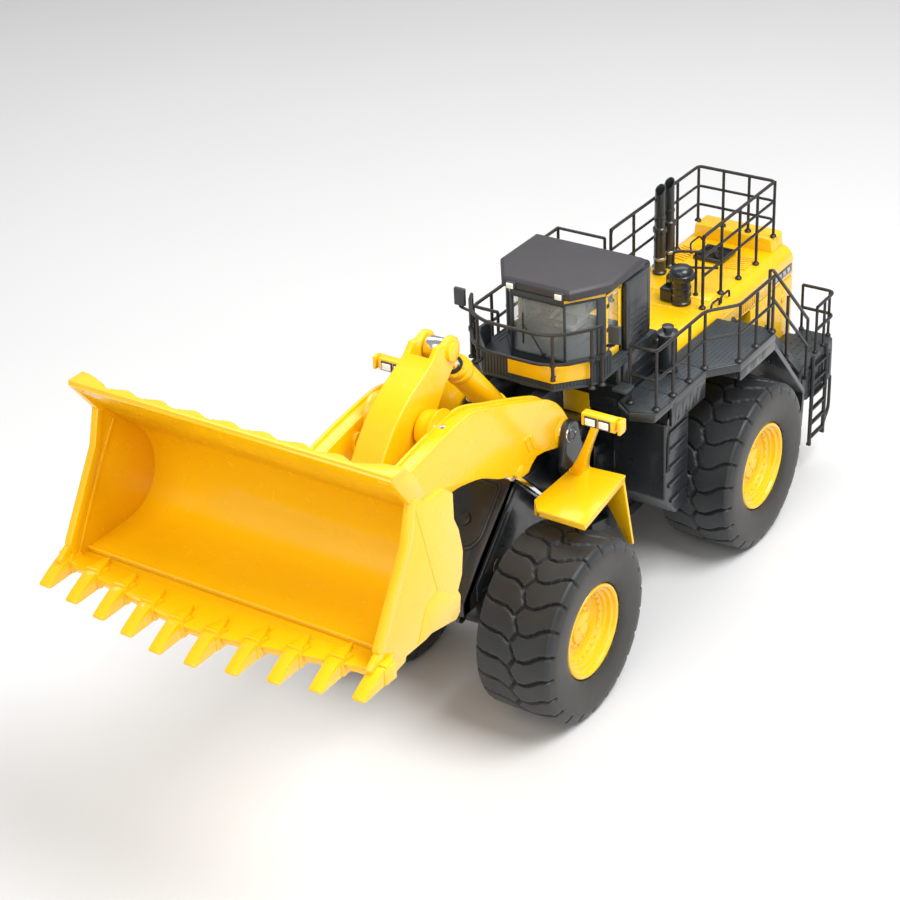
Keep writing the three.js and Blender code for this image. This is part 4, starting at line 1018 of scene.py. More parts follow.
def add_hood():
    piece = Piece("hood_look", YELLOW)
    radius = 6.2
    profile = ([(HOOD_HALF, 84.1)] + arc(HOOD_HALF - radius, HOOD_TOP - radius, radius, 0, 90, 10)
               + arc(radius - HOOD_HALF, HOOD_TOP - radius, radius, 90, 180, 10) + [(-HOOD_HALF, 84.1)])
    piece.prism(profile, -156.4, -36.2, plane="yz", bevel=0.5, segments=3)
    piece.prism([(-19.6, 97), (19.6, 97), (18.6, 103.9), (-18.6, 103.9)], -156.2, -145, plane="yz",
                bevel=0.8, segments=3)
    piece.prism(rect(-150, -155.2, 103.4, 98), 14.5, 19.3, bevel=0.6)
    # Lids, seams and a raised panel on the top.
    piece.box(-74, -40, -16, 16, 97.3, 98.0)
    piece.box(-68, -58, -12, -6, 97.8, 98.4, bevel=0.2)
    piece.box(-100, -88, -18, 18, 97.3, 97.85, bevel=0.25)
    for x in (-86.4, -76, -120.4):
        piece.tube([(x, -18, 97.45), (x, 18, 97.45)], 0.25)
    for k in range(7):
        x = -121.6 - 2.0 * k
        piece.prism([(x, 8), (x + 1.0, 8), (x - 1.8, 17), (x - 2.8, 17)], 97.4, 98.3, plane="xy", bevel=0.2)
        piece.prism([(x, -18), (x + 1.0, -18), (x + 2.6, -10), (x + 1.6, -10)], 97.4, 98.3, plane="xy",
                bevel=0.2)
    for k in range(7):
        x = -118.6 + 1.7 * k
        for side in (1, -1):
            piece.box(x, x + 0.9, *on_side(side, 24.2, 24.95), 85.6, 91.2, bevel=0.2)
    for side in (1, -1):
        # Side doors with a seam frame, and a dark band with four plain bars where lettering would be.
        for x0, x1 in ((-82, -52), (-114, -86)):
            door_out = rect(x0, x1, 84.6, 91.4)
            door_in = rect(x0 + 0.7, x1 - 0.7, 85.3, 90.7)
            piece.band(door_out, door_in, *on_side(side, 24.4, 24.72), plane="xz", bevel=0.1)
        piece.box(-154.6, -136.4, *on_side(side, 24.4, 24.75), 86.2, 90.0, BLACK, bevel=0.15)
        for k in range(4):
            x = -152.8 + 4.1 * k
            piece.prism([(x, 87.0), (x + 2.6, 87.0), (x + 3.3, 89.2), (x + 0.7, 89.2)],
                    *on_side(side, 24.6, 24.85), GREYLABEL, bevel=0.05)
    piece.tube([(-81, 22.6, 97.2), (-81, 22.6, 100.4), (-88.5, 22.6, 100.4), (-88.5, 22.6, 97.2)], 0.5, RAIL)
    piece.tube([(-90, 22.6, 97.2), (-90, 22.6, 100.4), (-97.5, 22.6, 100.4), (-97.5, 22.6, 97.2)], 0.5, RAIL)
    piece.box(-49.5, -44, 17.6, 21, 97.3, 98.5, BLACK)
    piece.box(-58.6, -55, 15, 18.8, 97.3, 98.2, BLACK)
    piece.done("rear_frame", "yellow_paint", "hood")


def add_hatch():
    piece = Piece("hood_hatch_look", BLACK)
    piece.band(rect(-137, -123, -8, 6), rect(-135.8, -124.2, -6.8, 4.8), 97.8, 99.5, bevel=0.2)
    for k in range(8):
        x = -135.2 + 1.45 * k
        piece.prism([(x, 97.9), (x + 0.4, 97.9), (x + 1.0, 99.2), (x + 0.6, 99.2)], -6.9, 4.9, bevel=0.05)
    piece.box(-136.4, -123.6, -7.4, 5.4, 97.8, 98.1, bevel=0.05)
    piece.tube([(-124, -9.4, 99.2), (-126, -11, 103.2), (-135, -11, 103.2), (-137, -9.4, 99.2)], 0.42, RAIL)
    piece.tube([(-134, -3, 99.6), (-131, -1, 101.6), (-127, 1, 101.2), (-125, 3, 99.6)], 0.7, RAIL,
               corner=2.5)
    piece.done("rear_frame", "black_paint", "hood_hatch")


def add_exhausts():
    for i, x in enumerate((-103.5, -111.8)):
        piece = Piece(f"exhaust_{i + 1}_look", BLACK)
        piece.lathe([(0, 97.8), (3.1, 97.8), (3.1, 98.6), (2.6, 99.2), (2.55, 116.8), (3.05, 117.2),
                 (3.05, 118.9), (2.7, 119.3), (2.2, 119.6), (2.2, 129.6), (0, 129.6)], (x, -14, 0),
                axis="z", segments=44)
        # The mouth is cut at a slant and open at the top.
        mouth = []
        for r, low, slant in ((2.2, 129, 0), (2.2, 136.4, 1.9), (1.75, 136.3, 1.9), (1.75, 129.8, 0)):
            mouth.append([(x + r * math.cos(t), -14 + r * math.sin(t), low - slant * math.cos(t))
                          for t in turns(36)])
        piece.loft(mouth)
        piece.lathe([(2.6, 104), (2.85, 104.2), (2.85, 105.2), (2.6, 105.4)], (x, -14, 0), STEEL, axis="z",
                segments=44)
        piece.lathe([(2.15, 123.4), (2.5, 123.6), (2.5, 124.4), (2.15, 124.6)], (x, -14, 0), axis="z",
                segments=44)
        piece.done("rear_frame", "black_paint", f"exhaust_{i + 1}")


def add_precleaner():
    piece = Piece("precleaner_look", BLACK)
    cx, cy = -81.7, 8.1
    piece.lathe([(0, 97.8), (4.3, 97.8), (4.3, 98.8), (3.9, 99.2), (3.9, 101.2), (4.25, 101.4),
                 (4.25, 102.2), (3.9, 102.4), (3.9, 104.4), (4.2, 104.6), (4.2, 105.3), (3.9, 105.5),
                 (3.9, 108.2), (4.6, 108.6), (5.2, 109.0), (5.5, 109.8), (5.5, 111.2), (5.15, 111.5),
                 (5.1, 112.2), (4.6, 113.4), (3.4, 114.4), (1.6, 114.9), (0, 115)], (cx, cy, 0), axis="z",
                segments=56)
    for t in turns(22):
        rib_x, rib_y = cx + 5.5 * math.cos(t), cy + 5.5 * math.sin(t)
        piece.rod((rib_x, rib_y, 109.2), (rib_x, rib_y, 111.2), 0.22, sides=6, bevel=0)
    piece.box(cx - 4.8, cx + 2.8, cy - 8.8, cy - 3.2, 97.9, 104, bevel=0.5)
    piece.box(cx - 3.8, cx - 0.4, cy - 7.6, cy - 4.4, 103.8, 108.6, bevel=0.4)
    piece.rod((cx - 0.6, cy - 6, 106.4), (cx + 0.3, cy - 6, 106.4), 0.7, STEEL, sides=16)
    piece.done("rear_frame", "black_paint", "precleaner")


def add_canister():
    piece = Piece("filter_canister_look", STEEL)
    piece.lathe([(0, 95.3), (4.2, 95.3), (4.2, 96), (3.8, 96.4), (3.8, 110.2), (4.4, 110.6), (4.6, 111.2),
             (4.4, 111.8), (3.0, 112.2), (2.0, 112.6), (2.0, 113.6), (2.4, 113.8), (2.4, 114.6), (1.2, 115),
             (0, 115)], (-29.8, 29.6, 0), BLACK, axis="z", segments=44)
    piece.box(-31.4, -28.2, 24.8, 27, 100, 103, bevel=0.2)
    piece.box(-31.4, -28.2, 24.8, 27, 106, 108, bevel=0.2)
    piece.done("rear_frame", "black_paint", "filter_canister")


def foot(piece, x, y, z, r=1.5):
    """Round flange at the bottom of a rail post."""
    piece.lathe([(0, 0), (r, 0), (r, 0.35), (r * 0.75, 0.9), (r * 0.6, 1.1), (0, 1.1)], (x, y, z), RAIL,
            axis="z", segments=20)


RAIL_R = 0.72


def add_hood_rail():
    piece = Piece("hood_rail_look", RAIL)
    y, rear = 18.5, -147.5
    low, mid, top = 112.4, 121.1, 130.3
    # Feet stand on the hood, or on the raised block at its rear.
    hood, block = 97.8, 104.2
    for z in (low, mid, top):
        piece.tube([(-81, y, z), (rear, y, z), (rear, -y, z), (-69, -y, z)],
               RAIL_R if z == top else RAIL_R * 0.85, corner=2.4)
    piece.tube([(-81, y, low), (-81, y, top), (-86, y, top)], RAIL_R, corner=2.6)
    piece.tube([(-69, -y, hood + 0.1), (-69, -y, top), (-75, -y, top)], RAIL_R, corner=2.6)
    for k in range(5):
        x = -81 + (rear + 81) * k / 4
        base = block if k == 4 else hood
        piece.tube([(x, y, base), (x, y, top)], RAIL_R * 0.95)
        foot(piece, x, y, base)
        x = -69 + (rear + 69) * k / 4
        piece.tube([(x, -y, base), (x, -y, top)], RAIL_R * 0.95)
        foot(piece, x, -y, base)
    for yy in (-6.2, 6.2):
        piece.tube([(rear, yy, block), (rear, yy, top)], RAIL_R * 0.95)
        foot(piece, rear, yy, block)
    # Short inner gate that turns in behind the air cleaner.
    for z in (110.5, 117.8):
        piece.tube([(-95, y, z), (-92.5, y - 5, z), (-88, y - 15, z), (-86.5, y - 17, z - 0.2)],
                   RAIL_R * 0.8, corner=2.5)
    piece.tube([(-86.5, y - 17, hood), (-86.5, y - 17, 117.8), (-89, y - 13, 117.8)], RAIL_R * 0.85,
               corner=2.2)
    piece.tube([(-91, y - 8.4, hood), (-91, y - 8.4, 117.8)], RAIL_R * 0.85)
    foot(piece, -86.5, y - 17, hood, 1.2)
    foot(piece, -91, y - 8.4, hood, 1.2)
    piece.done("rear_frame", "rail_black", "hood_rail")


add_chassis()
add_articulation_pin()
add_rear_axle()
add_counterweight()
add_hood()
add_hatch()
add_exhausts()
add_precleaner()
add_canister()
add_hood_rail()


# ---------------------------------------------------------------- decks, stairs, mudguards
DECK_ROUTE = [(1.5, 30), (1.5, 41.6), (-38.5, 41.6), (-50.4, 51), (-80.5, 51)]
DECK_POSTS = [(1.5, 30), (1.5, 41.6), (-12, 41.6), (-25.5, 41.6), (-38.5, 41.6), (-50.4, 51), (-65.5, 51),
              (-80.5, 51)]
DECK_REAR_POST = (-80.5, 28)
DECK_TOP, DECK_RAIL_MID, DECK_RAIL_TOP = 95, 107.5, 120


def lift(points, z):
    """Points of a plan at height z."""
    return [(x, y, z) for x, y in points]


def add_deck(name, side):
    piece = Piece(f"deck_{name}_look", BLACK)
    outline = [(2, 24.9), (8.1, 33), (4.6, 42.8), (-38, 42.8), (-49.7, 52.2), (-81.9, 52.2), (-81.9, 24.9)]
    piece.prism(outline, 90.6, 94.5, plane="xy", bevel=0.5, segments=3)
    plate = [(1.6, 25.6), (7.2, 33), (4.1, 42), (-37.7, 42), (-49.4, 51.4), (-81.1, 51.4), (-81.1, 25.6)]
    piece.prism(plate, 94.3, 94.75, SLATE, plane="xy", bevel=0.1)
    # Raised grip pips in rows over the walking plate.
    bm = bmesh.new()
    for i in range(-40, 4):
        for j in range(0, 14):
            x, y = i * 2.0 + (j % 2), 26.6 + j * 1.9
            edge = 41.2 if x > -38 else 41.2 + min(9.4, (-38 - x) * 0.8)
            if y > edge or x < -80.4 or x > 0.8:
                continue
            vs = [bm.verts.new((x + dx, y + dy, z))
                  for z in (94.7, 94.94) for dx, dy in rect(-0.55, 0.55, -0.22, 0.22)]
            for v in vs[4:]:
                v.co.x = x + (v.co.x - x) * 0.6
                v.co.y = y + (v.co.y - y) * 0.6
            join(bm, [vs[:4], vs[4:]])
            bm.faces.new(vs[4:])
    piece.take(bm, SLATE)
    for x in (-12, -25.5, -38):
        piece.tube([(x, 25.4, 94.75), (x, 41.8, 94.75)], 0.22)
    piece.box(-38, -9.5, 41.3, 42.7, 82.1, 91, bevel=0.35)
    piece.box(-81.8, -50, 50.7, 52.1, 86.1, 91, bevel=0.35)
    piece.box(-12, -7, 42.2, 42.9, 91.4, 93.8, bevel=0.15)
    for x in (-14, -20, -26, -32):
        piece.box(x - 1.6, x + 1.6, 42.4, 42.85, 83.2, 89.6, bevel=0.15)
    for x in (-56, -64, -72):
        piece.box(x - 2.6, x + 2.6, 51.8, 52.15, 87, 90.2, bevel=0.15)
    piece.sided(side).done("rear_frame", "slate_plastic", f"deck_{name}")


def add_deck_rail(name, side):
    piece = Piece(f"deck_rail_{name}_look", RAIL)
    piece.tube(lift(DECK_ROUTE, DECK_RAIL_TOP), RAIL_R, corner=2.6)
    piece.tube(lift(DECK_ROUTE, DECK_RAIL_MID), RAIL_R * 0.9, corner=2.2)
    posts = list(DECK_POSTS)
    if side < 0:
        # The right deck is closed at the rear too.
        posts.append(DECK_REAR_POST)
        for z in (DECK_RAIL_TOP, DECK_RAIL_MID):
            piece.tube(lift([DECK_ROUTE[-1], DECK_REAR_POST], z), RAIL_R * 0.95)
    for x, y in posts:
        piece.tube([(x, y, DECK_TOP), (x, y, DECK_RAIL_TOP)], RAIL_R * 0.95)
        foot(piece, x, y, DECK_TOP - 0.1, 1.7)
    piece.sided(side).done("rear_frame", "rail_black", f"deck_rail_{name}")


def add_mudguard(name, side):
    piece = Piece(f"rear_mudguard_{name}_look", BLACK)
    guard = [(-50, 86.6), (-50, 90.1), (-83, 90.1), (-100.5, 70), (-117.9, 50), (-116, 32.1),
             (-114.2, 32.1), (-115.9, 49.4), (-82.2, 87.9), (-52, 87.9), (-51.4, 86.6)]
    piece.prism(guard, 25, 50.1)
    piece.tube([(-50.2, 49.6, 89.9), (-83, 49.6, 89.9), (-117.6, 49.6, 50), (-115.9, 49.6, 32.6)], 0.55,
           corner=2)
    for t in (0.25, 0.6):
        x, z = -83 - 35 * t, 90.1 - 40.1 * t
        piece.rod((x + 0.2, 26, z), (x + 0.2, 49.4, z), 0.5, sides=10)
    piece.sided(side).done("rear_frame", "black_paint", f"rear_mudguard_{name}")


def add_side_tank(name, side):
    piece = Piece(f"side_tank_{name}_look", BLACK)
    outline = [(-29.8, 36.2), (-29.8, 81.8), (-9.7, 81.8), (-9.7, 47), (-20, 36.2)]
    piece.prism(outline, 15.9, 39.7, bevel=1.0, segments=3)
    piece.box(-28, -11, 25.1, 39.9, 81, 90.1, bevel=0.5)
    for k in range(5):
        z = 44 + 8 * k
        front = -12 if k else -14
        piece.prism(rect(-27.4, front, z, z + 1.6), 39.5, 40.7)
    piece.lathe([(0, 0), (2.6, 0), (2.6, 0.7), (2.2, 1.0), (0, 1.0)], (-24, 39.8, 82.8), segments=28)
    for k in range(3):
        piece.tube([(-13.5, 39.2, 80 - 2.0 * k), (-11.4, 40.2, 74 - 2 * k), (-11, 40.0, 60)], 0.5, RAIL,
               corner=2.5)
    piece.rod((-19, 39.8, 83.8), (-19, 40.8, 83.8), 1.1, RED, bevel=0.2)
    piece.sided(side).done("rear_frame", "slate_plastic", f"side_tank_{name}")


STAIR_TOP, STAIR_FOOT = (-86, 92.8), (-122, 57)


def add_stairs():
    piece = Piece("rear_stairs_look", SLATE)
    (x0, z0), (x1, z1) = STAIR_TOP, STAIR_FOOT
    d = Vector((x1 - x0, 0, z1 - z0)).normalized()
    n = Vector((-d.z, 0, d.x))
    for ya, yb in ((29.3, 30.6), (44.6, 45.9)):
        quad = [(x + n.x * h, z + n.z * h)
                for x, z, h in ((x0, z0, -1.6), (x0, z0, 1.6), (x1, z1, 1.6), (x1, z1, -1.6))]
        piece.prism(quad, ya, yb, bevel=0.3)
    for k in range(7):
        t = (k + 0.5) / 7
        x, z = x0 + (x1 - x0) * t, z0 + (z1 - z0) * t
        piece.prism(rect(x - 2.2, x + 2.2, z - 0.6, z + 0.3), 30.2, 45, bevel=0.2)
        for j in range(6):
            piece.box(x - 2.0, x + 2.0, 31.2 + 2.3 * j, 31.9 + 2.3 * j, z + 0.2, z + 0.55, bevel=0.1)
    land = [(-156.9, 29.1), (-156.9, 43.5), (-154.5, 45.9), (-122.2, 45.9), (-122.2, 29.1)]
    piece.prism(land, 54.6, 58, plane="xy", bevel=0.5, segments=3)
    piece.prism([(-156.8, 37.2), (-156.8, 55), (-122.3, 55), (-122.3, 46), (-131, 37.2)], 29.4, 45.2,
                bevel=0.8, segments=3)
    for k in range(3):
        x = -154 + 10.4 * k
        piece.band(rect(x, x + 8.6, 40, 52.6), rect(x + 1, x + 7.6, 41, 51.6), 45.0, 45.7, plane="xz")
    for i in range(8):
        for j in range(4):
            piece.box(-154.4 + 4 * i, -152.4 + 4 * i, 31.6 + 3.4 * j, 32.2 + 3.4 * j, 57.9, 58.25,
                      bevel=0.08)
    piece.box(-151, -124, 24.9, 30.2, 40.4, 57.6, BLACK, bevel=0.4)
    for x in (-147, -133):
        piece.tube([(x, 46.4, 58.4), (x, 46.8, 50), (x, 46.4, 14.8)], 0.95, RAIL, corner=4)
    for k in range(6):
        z = 17.4 + 7 * k
        piece.box(-147, -133, 45.4, 47.2, z - 0.5, z + 0.5, RAIL)
    for x in (-147, -133):
        piece.rod((x, 45.4, 14.6), (x, 47.2, 14.6), 0.9, RAIL, sides=16)
    piece.tube([(-156.2, 44.8, 38), (-156.2, 44.8, 22), (-152, 44.8, 17.6), (-148.4, 46.0, 17.6)], 0.8, RAIL,
           corner=4)
    piece.done("rear_frame", "slate_plastic", "rear_stairs")


def add_stair_rail():
    piece = Piece("stair_rail_look", RAIL)
    y = 47.3
    for top, low in ((120, 81), (107.5, 68.5)):
        piece.tube([(-84.4, y, top), (-87.4, y, top - 1.0), (-122, y, low + 2.0), (-124, y, low)], RAIL_R,
               corner=2.4)
    for x, za, zb in ((-84.4, 92, 120), (-103, 72, 100.6), (-124, 52, 81)):
        piece.tube([(x, y, za), (x, y, zb)], RAIL_R)
        piece.lathe([(0, 0), (1.4, 0), (1.2, 0.8), (0, 1.0)], (x, y, za), axis="z", segments=16)
    piece.done("rear_frame", "rail_black", "stair_rail")


def add_landing_rail():
    piece = Piece("landing_rail_look", RAIL)
    route = [(-138, 45.2), (-155.8, 45.2), (-155.8, 30)]
    for z in (80, 69):
        piece.tube(lift(route, z), RAIL_R, corner=3.4)
    for x, yy in ((-138, 45.2), (-146, 45.2), (-155.8, 43), (-155.8, 30)):
        piece.tube([(x, yy, 58.3), (x, yy, 80)], RAIL_R * 0.95)
        foot(piece, x, yy, 58.1, 1.3)
    piece.done("rear_frame", "rail_black", "landing_rail")


for deck_name, deck_side in SIDES:
    add_deck(deck_name, deck_side)
    add_deck_rail(deck_name, deck_side)
    add_mudguard(deck_name, deck_side)
    add_side_tank(deck_name, deck_side)
add_stairs()
add_stair_rail()
add_landing_rail()


# ---------------------------------------------------------------- cab
def mirrored_outline(half):
    """A plan outline from its left half."""
    return half + [(x, -y) for x, y in reversed(half)]


def grow(points, d):
    """Offset a closed plan outline by d, outwards when positive."""
    n = len(points)
    area = sum(points[i][0] * points[(i + 1) % n][1] - points[(i + 1) % n][0] * points[i][1]
               for i in range(n))
    sign = 1 if area > 0 else -1
    out = []
    for i in range(n):
        a, b, c = (Vector(points[(i + k - 1) % n]) for k in range(3))
        e1, e2 = (b - a).normalized(), (c - b).normalized()
        n1, n2 = Vector((e1.y, -e1.x)) * sign, Vector((e2.y, -e2.x)) * sign
        m = (n1 + n2).normalized()
        out.append(tuple(b + m * d / max(0.3, m.dot(n1))))
    return out


PLATFORM_HALF = [(35.6, 15.8), (24.6, 25.8), (19.6, 28.2), (-3, 28.2), (-3, 24.8), (-22, 24.8)]


def add_pedestal():
    piece = Piece("cab_pedestal_look", BLACK)
    piece.prism([(-35.4, 84.2), (-4.2, 84.2), (-4.2, 111), (-31, 111), (-35.4, 101)], -24.3, 24.3, bevel=0.7,
            segments=3)
    for side in (1, -1):
        piece.prism([(-4.6, 111), (12, 111), (12, 108.4), (-4.6, 98)], *on_side(side, 13.1, 15.9), bevel=0.4)
        for z in (88, 93, 98, 103):
            piece.box(-31, -9, *on_side(side, 24.0, 24.45), z, z + 2.6, bevel=0.2)
    for z in (88, 94, 100):
        piece.box(-4.4, -4.0, -20, 20, z, z + 3.4, bevel=0.15)
    piece.box(-5.2, -3.9, -3.5, 8.4, 80.8, 91, YELLOW, bevel=0.2)
    piece.done("rear_frame", "black_paint", "cab_pedestal")


def add_platform():
    piece = Piece("cab_platform_look", SLATE)
    ring = mirrored_outline(PLATFORM_HALF)
    piece.prism(grow(ring, -0.05), 111.6, 113, plane="xy", bevel=0.3)
    # Kick board round the front: finely ribbed slate. From just past the middle to the left corner a
    # yellow strip covers the upper part.
    half = [(12, 27.9), (19.5, 27.9), (24.3, 25.5), (35.3, 15.6)]
    front = half + [(35.3, -4.4)] + [(x, -y) for x, y in reversed(half)]
    for (ax, ay), (bx, by) in zip(front, front[1:]):
        a, b = Vector((ax, ay)), Vector((bx, by))
        d = (b - a).normalized()
        inward = Vector((d.y, -d.x))
        if inward.dot(-(a + b) / 2 + Vector((5, 0))) < 0:
            inward = -inward
        board = [a, b, b + inward * 1.5, a + inward * 1.5]
        yellow = by > -5 and ax > 24
        piece.prism(board, 111.8, 121.4 if yellow else 121.9, plane="xy", bevel=0.25)
        if yellow:
            strip = [a - inward * 0.05, b - inward * 0.05, b + inward * 1.7, a + inward * 1.7]
            piece.prism(strip, 115.0, 121.6, YELLOW, plane="xy", bevel=0.2)
        count = int((b - a).length / 1.25)
        for k in range(count):
            c = a + d * (k + 0.5) * (b - a).length / count
            h = d * 0.33
            rib = [c - h + inward * 0.2, c + h + inward * 0.2, c + h - inward * 0.3, c - h - inward * 0.3]
            piece.prism(rib, 112.9, 114.7 if yellow else 121.2, plane="xy", bevel=0.0)
    for side in (1, -1):
        piece.box(3.5, 10.3, *on_side(side, 26.8, 33.1), 103.1, 104.4)
        for k in range(4):
            x = 4.2 + 1.6 * k
            piece.box(x, x + 0.7, *on_side(side, 28.4, 32.6), 104.2, 104.6, bevel=0.1)
        piece.box(5.1, 6.9, *on_side(side, 26.7, 28.1), 103.4, 112.4)
        for i in range(-9, 8):
            for j in range(3):
                x, y = 3 + i * 1.1 + (j % 2) * 0.5, 23.6 + j * 1.9
                piece.box(x - 0.5, x + 0.5, *on_side(side, y - 0.2, y + 0.2), 112.9, 113.2, bevel=0.0)
    piece.done("rear_frame", "slate_plastic", "cab_platform")


def add_platform_rail():
    piece = Piece("platform_rail_look", RAIL)
    half = [(38.9, 10.9), (36.8, 16.6), (33.7, 21.2), (25.5, 27), (21.2, 29)]
    route = [(x, -y) for x, y in reversed(half)] + half
    top, mid = 136.5, 124
    for z in (top, mid):
        piece.tube(lift(route, z), RAIL_R, corner=2.4)
    # The front posts end higher than the others, on brackets, so that the raised boom passes below them.
    for x, y in mirrored_outline([half[1], half[3], half[4]]):
        low = 117.4 if x > 30 else 111.7
        piece.tube([(x, y, low + 0.3), (x, y, top)], RAIL_R * 0.95)
        foot(piece, x, y, low, 1.5 if x < 30 else 1.1)
        piece.rod((x, y, mid - 1), (x, y, mid + 1), 1.1, sides=14, bevel=0.2)
        if x > 30:
            piece.box(34.4, x, *sorted((y * 0.93, y)), low + 0.2, low + 1.2, bevel=0.15)
    piece.done("rear_frame", "rail_black", "platform_rail")


SHELL_HALF = [(20.5, 12.1), (7, 22.5), (-19.4, 22.5)]
SHELL_LOW, SHELL_HIGH, SHELL_THICK = 113.4, 142.7, 1.4
WINDOW = (116.6, 140.2)


def wall(piece, a, b, spans, inward):
    """One flat cab wall from a to b, with a window over each span of distances along it."""
    openings = [(*span, *WINDOW) for span in spans]
    a, b = Vector(a), Vector(b)
    d = (b - a).normalized()
    length = (b - a).length
    cuts_s = sorted({0.0, length, *[o[0] for o in openings], *[o[1] for o in openings]})
    cuts_z = sorted({SHELL_LOW, SHELL_HIGH, *[o[2] for o in openings], *[o[3] for o in openings]})
    bm = bmesh.new()
    grid = {}

    def at(i, j, side):
        key = (i, j, side)
        if key not in grid:
            q = a + d * cuts_s[i] + inward * (SHELL_THICK if side else 0)
            grid[key] = bm.verts.new((q.x, q.y, cuts_z[j]))
        return grid[key]

    def solid(i, j):
        if not (0 <= i < len(cuts_s) - 1 and 0 <= j < len(cuts_z) - 1):
            return False
        s, z = (cuts_s[i] + cuts_s[i + 1]) / 2, (cuts_z[j] + cuts_z[j + 1]) / 2
        return not any(o[0] < s < o[1] and o[2] < z < o[3] for o in openings)

    for i in range(len(cuts_s) - 1):
        for j in range(len(cuts_z) - 1):
            if not solid(i, j):
                continue
            bm.faces.new((at(i, j, 0), at(i + 1, j, 0), at(i + 1, j + 1, 0), at(i, j + 1, 0)))
            bm.faces.new((at(i, j, 1), at(i, j + 1, 1), at(i + 1, j + 1, 1), at(i + 1, j, 1)))
            for (di, dj), (p0, p1) in (((-1, 0), ((i, j), (i, j + 1))),
                                       ((1, 0), ((i + 1, j), (i + 1, j + 1))),
                                       ((0, -1), ((i, j), (i + 1, j))),
                                       ((0, 1), ((i, j + 1), (i + 1, j + 1)))):
                if not solid(i + di, j + dj):
                    bm.faces.new((at(*p0, 0), at(*p1, 0), at(*p1, 1), at(*p0, 1)))
    piece.take(bm, SLATE, 0.25)


def add_cab_shell():
    piece = Piece("cab_shell_look", YELLOW)
    (fx, fy), (cx, cy), (rx, ry) = SHELL_HALF
    wall(piece, (fx, -fy), (fx, fy), [(1.1, 23.7)], Vector((-1, 0)))
    wall(piece, (rx, -ry), (rx, ry), [(8.6, 36.4)], Vector((1, 0)))
    for side in (1, -1):
        diag = Vector((fx - cx, side * (fy - cy)))
        length = diag.length
        inward = Vector((-diag.y, diag.x)).normalized()
        if inward.y * side > 0:
            inward = -inward
        wall(piece, (cx, side * cy), (fx, side * fy), [(3.4, length - 0.6)], inward)
        front, rear = Vector((fx, side * fy)), Vector((cx, side * cy))
        line = [front - inward * 0.1, rear - inward * 0.1, rear + inward * 0.8, front + inward * 0.8]
        piece.prism(line, 141.4, 142.6, plane="xy", bevel=0.1)
        wall(piece, (rx, side * ry), (cx, side * cy), [(1.4, 13.4), (14.9, 24.8)], Vector((0, -side)))
        # Door panel and posts in yellow, with hinges and a handle.
        y0, y1 = on_side(side, 22.3, 22.62)
        piece.box(-4.6, 6.4, y0, y1, 113.8, 117.6, bevel=0.2)
        piece.box(-4.8, -2.6, y0, y1, 113.8, 141, bevel=0.2)
        piece.box(5.5, 6.8, y0, y1, 113.8, 141, bevel=0.2)
        piece.box(-5.6, 6.6, y0, y1, 140.3, 141.6, bevel=0.2)
        for z in (116.5, 126, 136):
            piece.box(4.8, 6.6, *on_side(side, 22.5, 22.95), z, z + 1.6, BLACK, bevel=0.15)
        piece.tube([(-3.8, side * 22.5, 118.4), (-3.8, side * 22.85, 118.4), (-1.4, side * 22.85, 118.4),
                (-1.4, side * 22.5, 118.4)], 0.22, RAIL)
        for x in (-9.5, -13.6):
            piece.box(x - 0.3, x + 0.3, *on_side(side, 21.4, 22.0), 116.6, 140.4, BLACK, bevel=0.1)
    # Black seals round the windscreen.
    for y0, y1, z0, z1 in ((-11.3, 12.0, 116.3, 116.9), (-11.3, 12.0, 139.8, 140.4),
                           (-11.3, -10.7, 116.3, 140.4)):
        piece.box(20.3, 20.75, y0, y1, z0, z1, BLACK, bevel=0.12)
    piece.done("rear_frame", "slate_plastic", "cab_shell")


def add_cab_glass():
    piece = Piece("cab_glass_look", GLASS)
    half = [(18.55, 10.95), (6.4, 20.6), (-17.5, 20.6)]
    outer = mirrored_outline(half)
    inner = grow(outer, -0.55)
    bm = bmesh.new()
    loops = [[bm.verts.new((x, y, z)) for x, y in ring] for ring in (outer, inner) for z in (115.6, 141.6)]
    n = len(outer)
    for k in range(n):
        m = (k + 1) % n
        bm.faces.new((loops[0][k], loops[0][m], loops[1][m], loops[1][k]))
        bm.faces.new((loops[2][m], loops[2][k], loops[3][k], loops[3][m]))
        bm.faces.new((loops[1][k], loops[1][m], loops[3][m], loops[3][k]))
        bm.faces.new((loops[0][m], loops[0][k], loops[2][k], loops[2][m]))
    piece.take(bm)
    piece.done("rear_frame", "window_glass", "cab_glass")


def add_cab_roof():
    piece = Piece("cab_roof_look", SLATE)
    half = [(21.3, 15.0), (6.6, 24.7), (-19.9, 24.7)]
    edge = mirrored_outline(half)
    levels = [(143.2, -0.3), (143.5, 0.0), (146.3, 0.0), (147.2, -0.9), (147.45, -1.3)]
    piece.loft([lift(grow(edge, d - 0.001), z) for z, d in levels], ROOF, bevel=0.15)
    piece.tube([(x, y, 145.9) for x, y in grow(edge, -0.12)], 0.2, closed=True)
    for y in (-10.7, 10.7):
        piece.box(20, 22.3, y - 2.0, y + 2.0, 143.3, 146.1)
        piece.box(22.2, 22.75, y - 1.5, y + 1.5, 143.6, 145.8, LENS, bevel=0.2)
    piece.lathe([(0, 147.3), (1.5, 147.3), (1.4, 147.48), (0, 147.49)], (-12, 0, 0), axis="z", segments=28)
    piece.done("rear_frame", "roof_grey", "cab_roof")


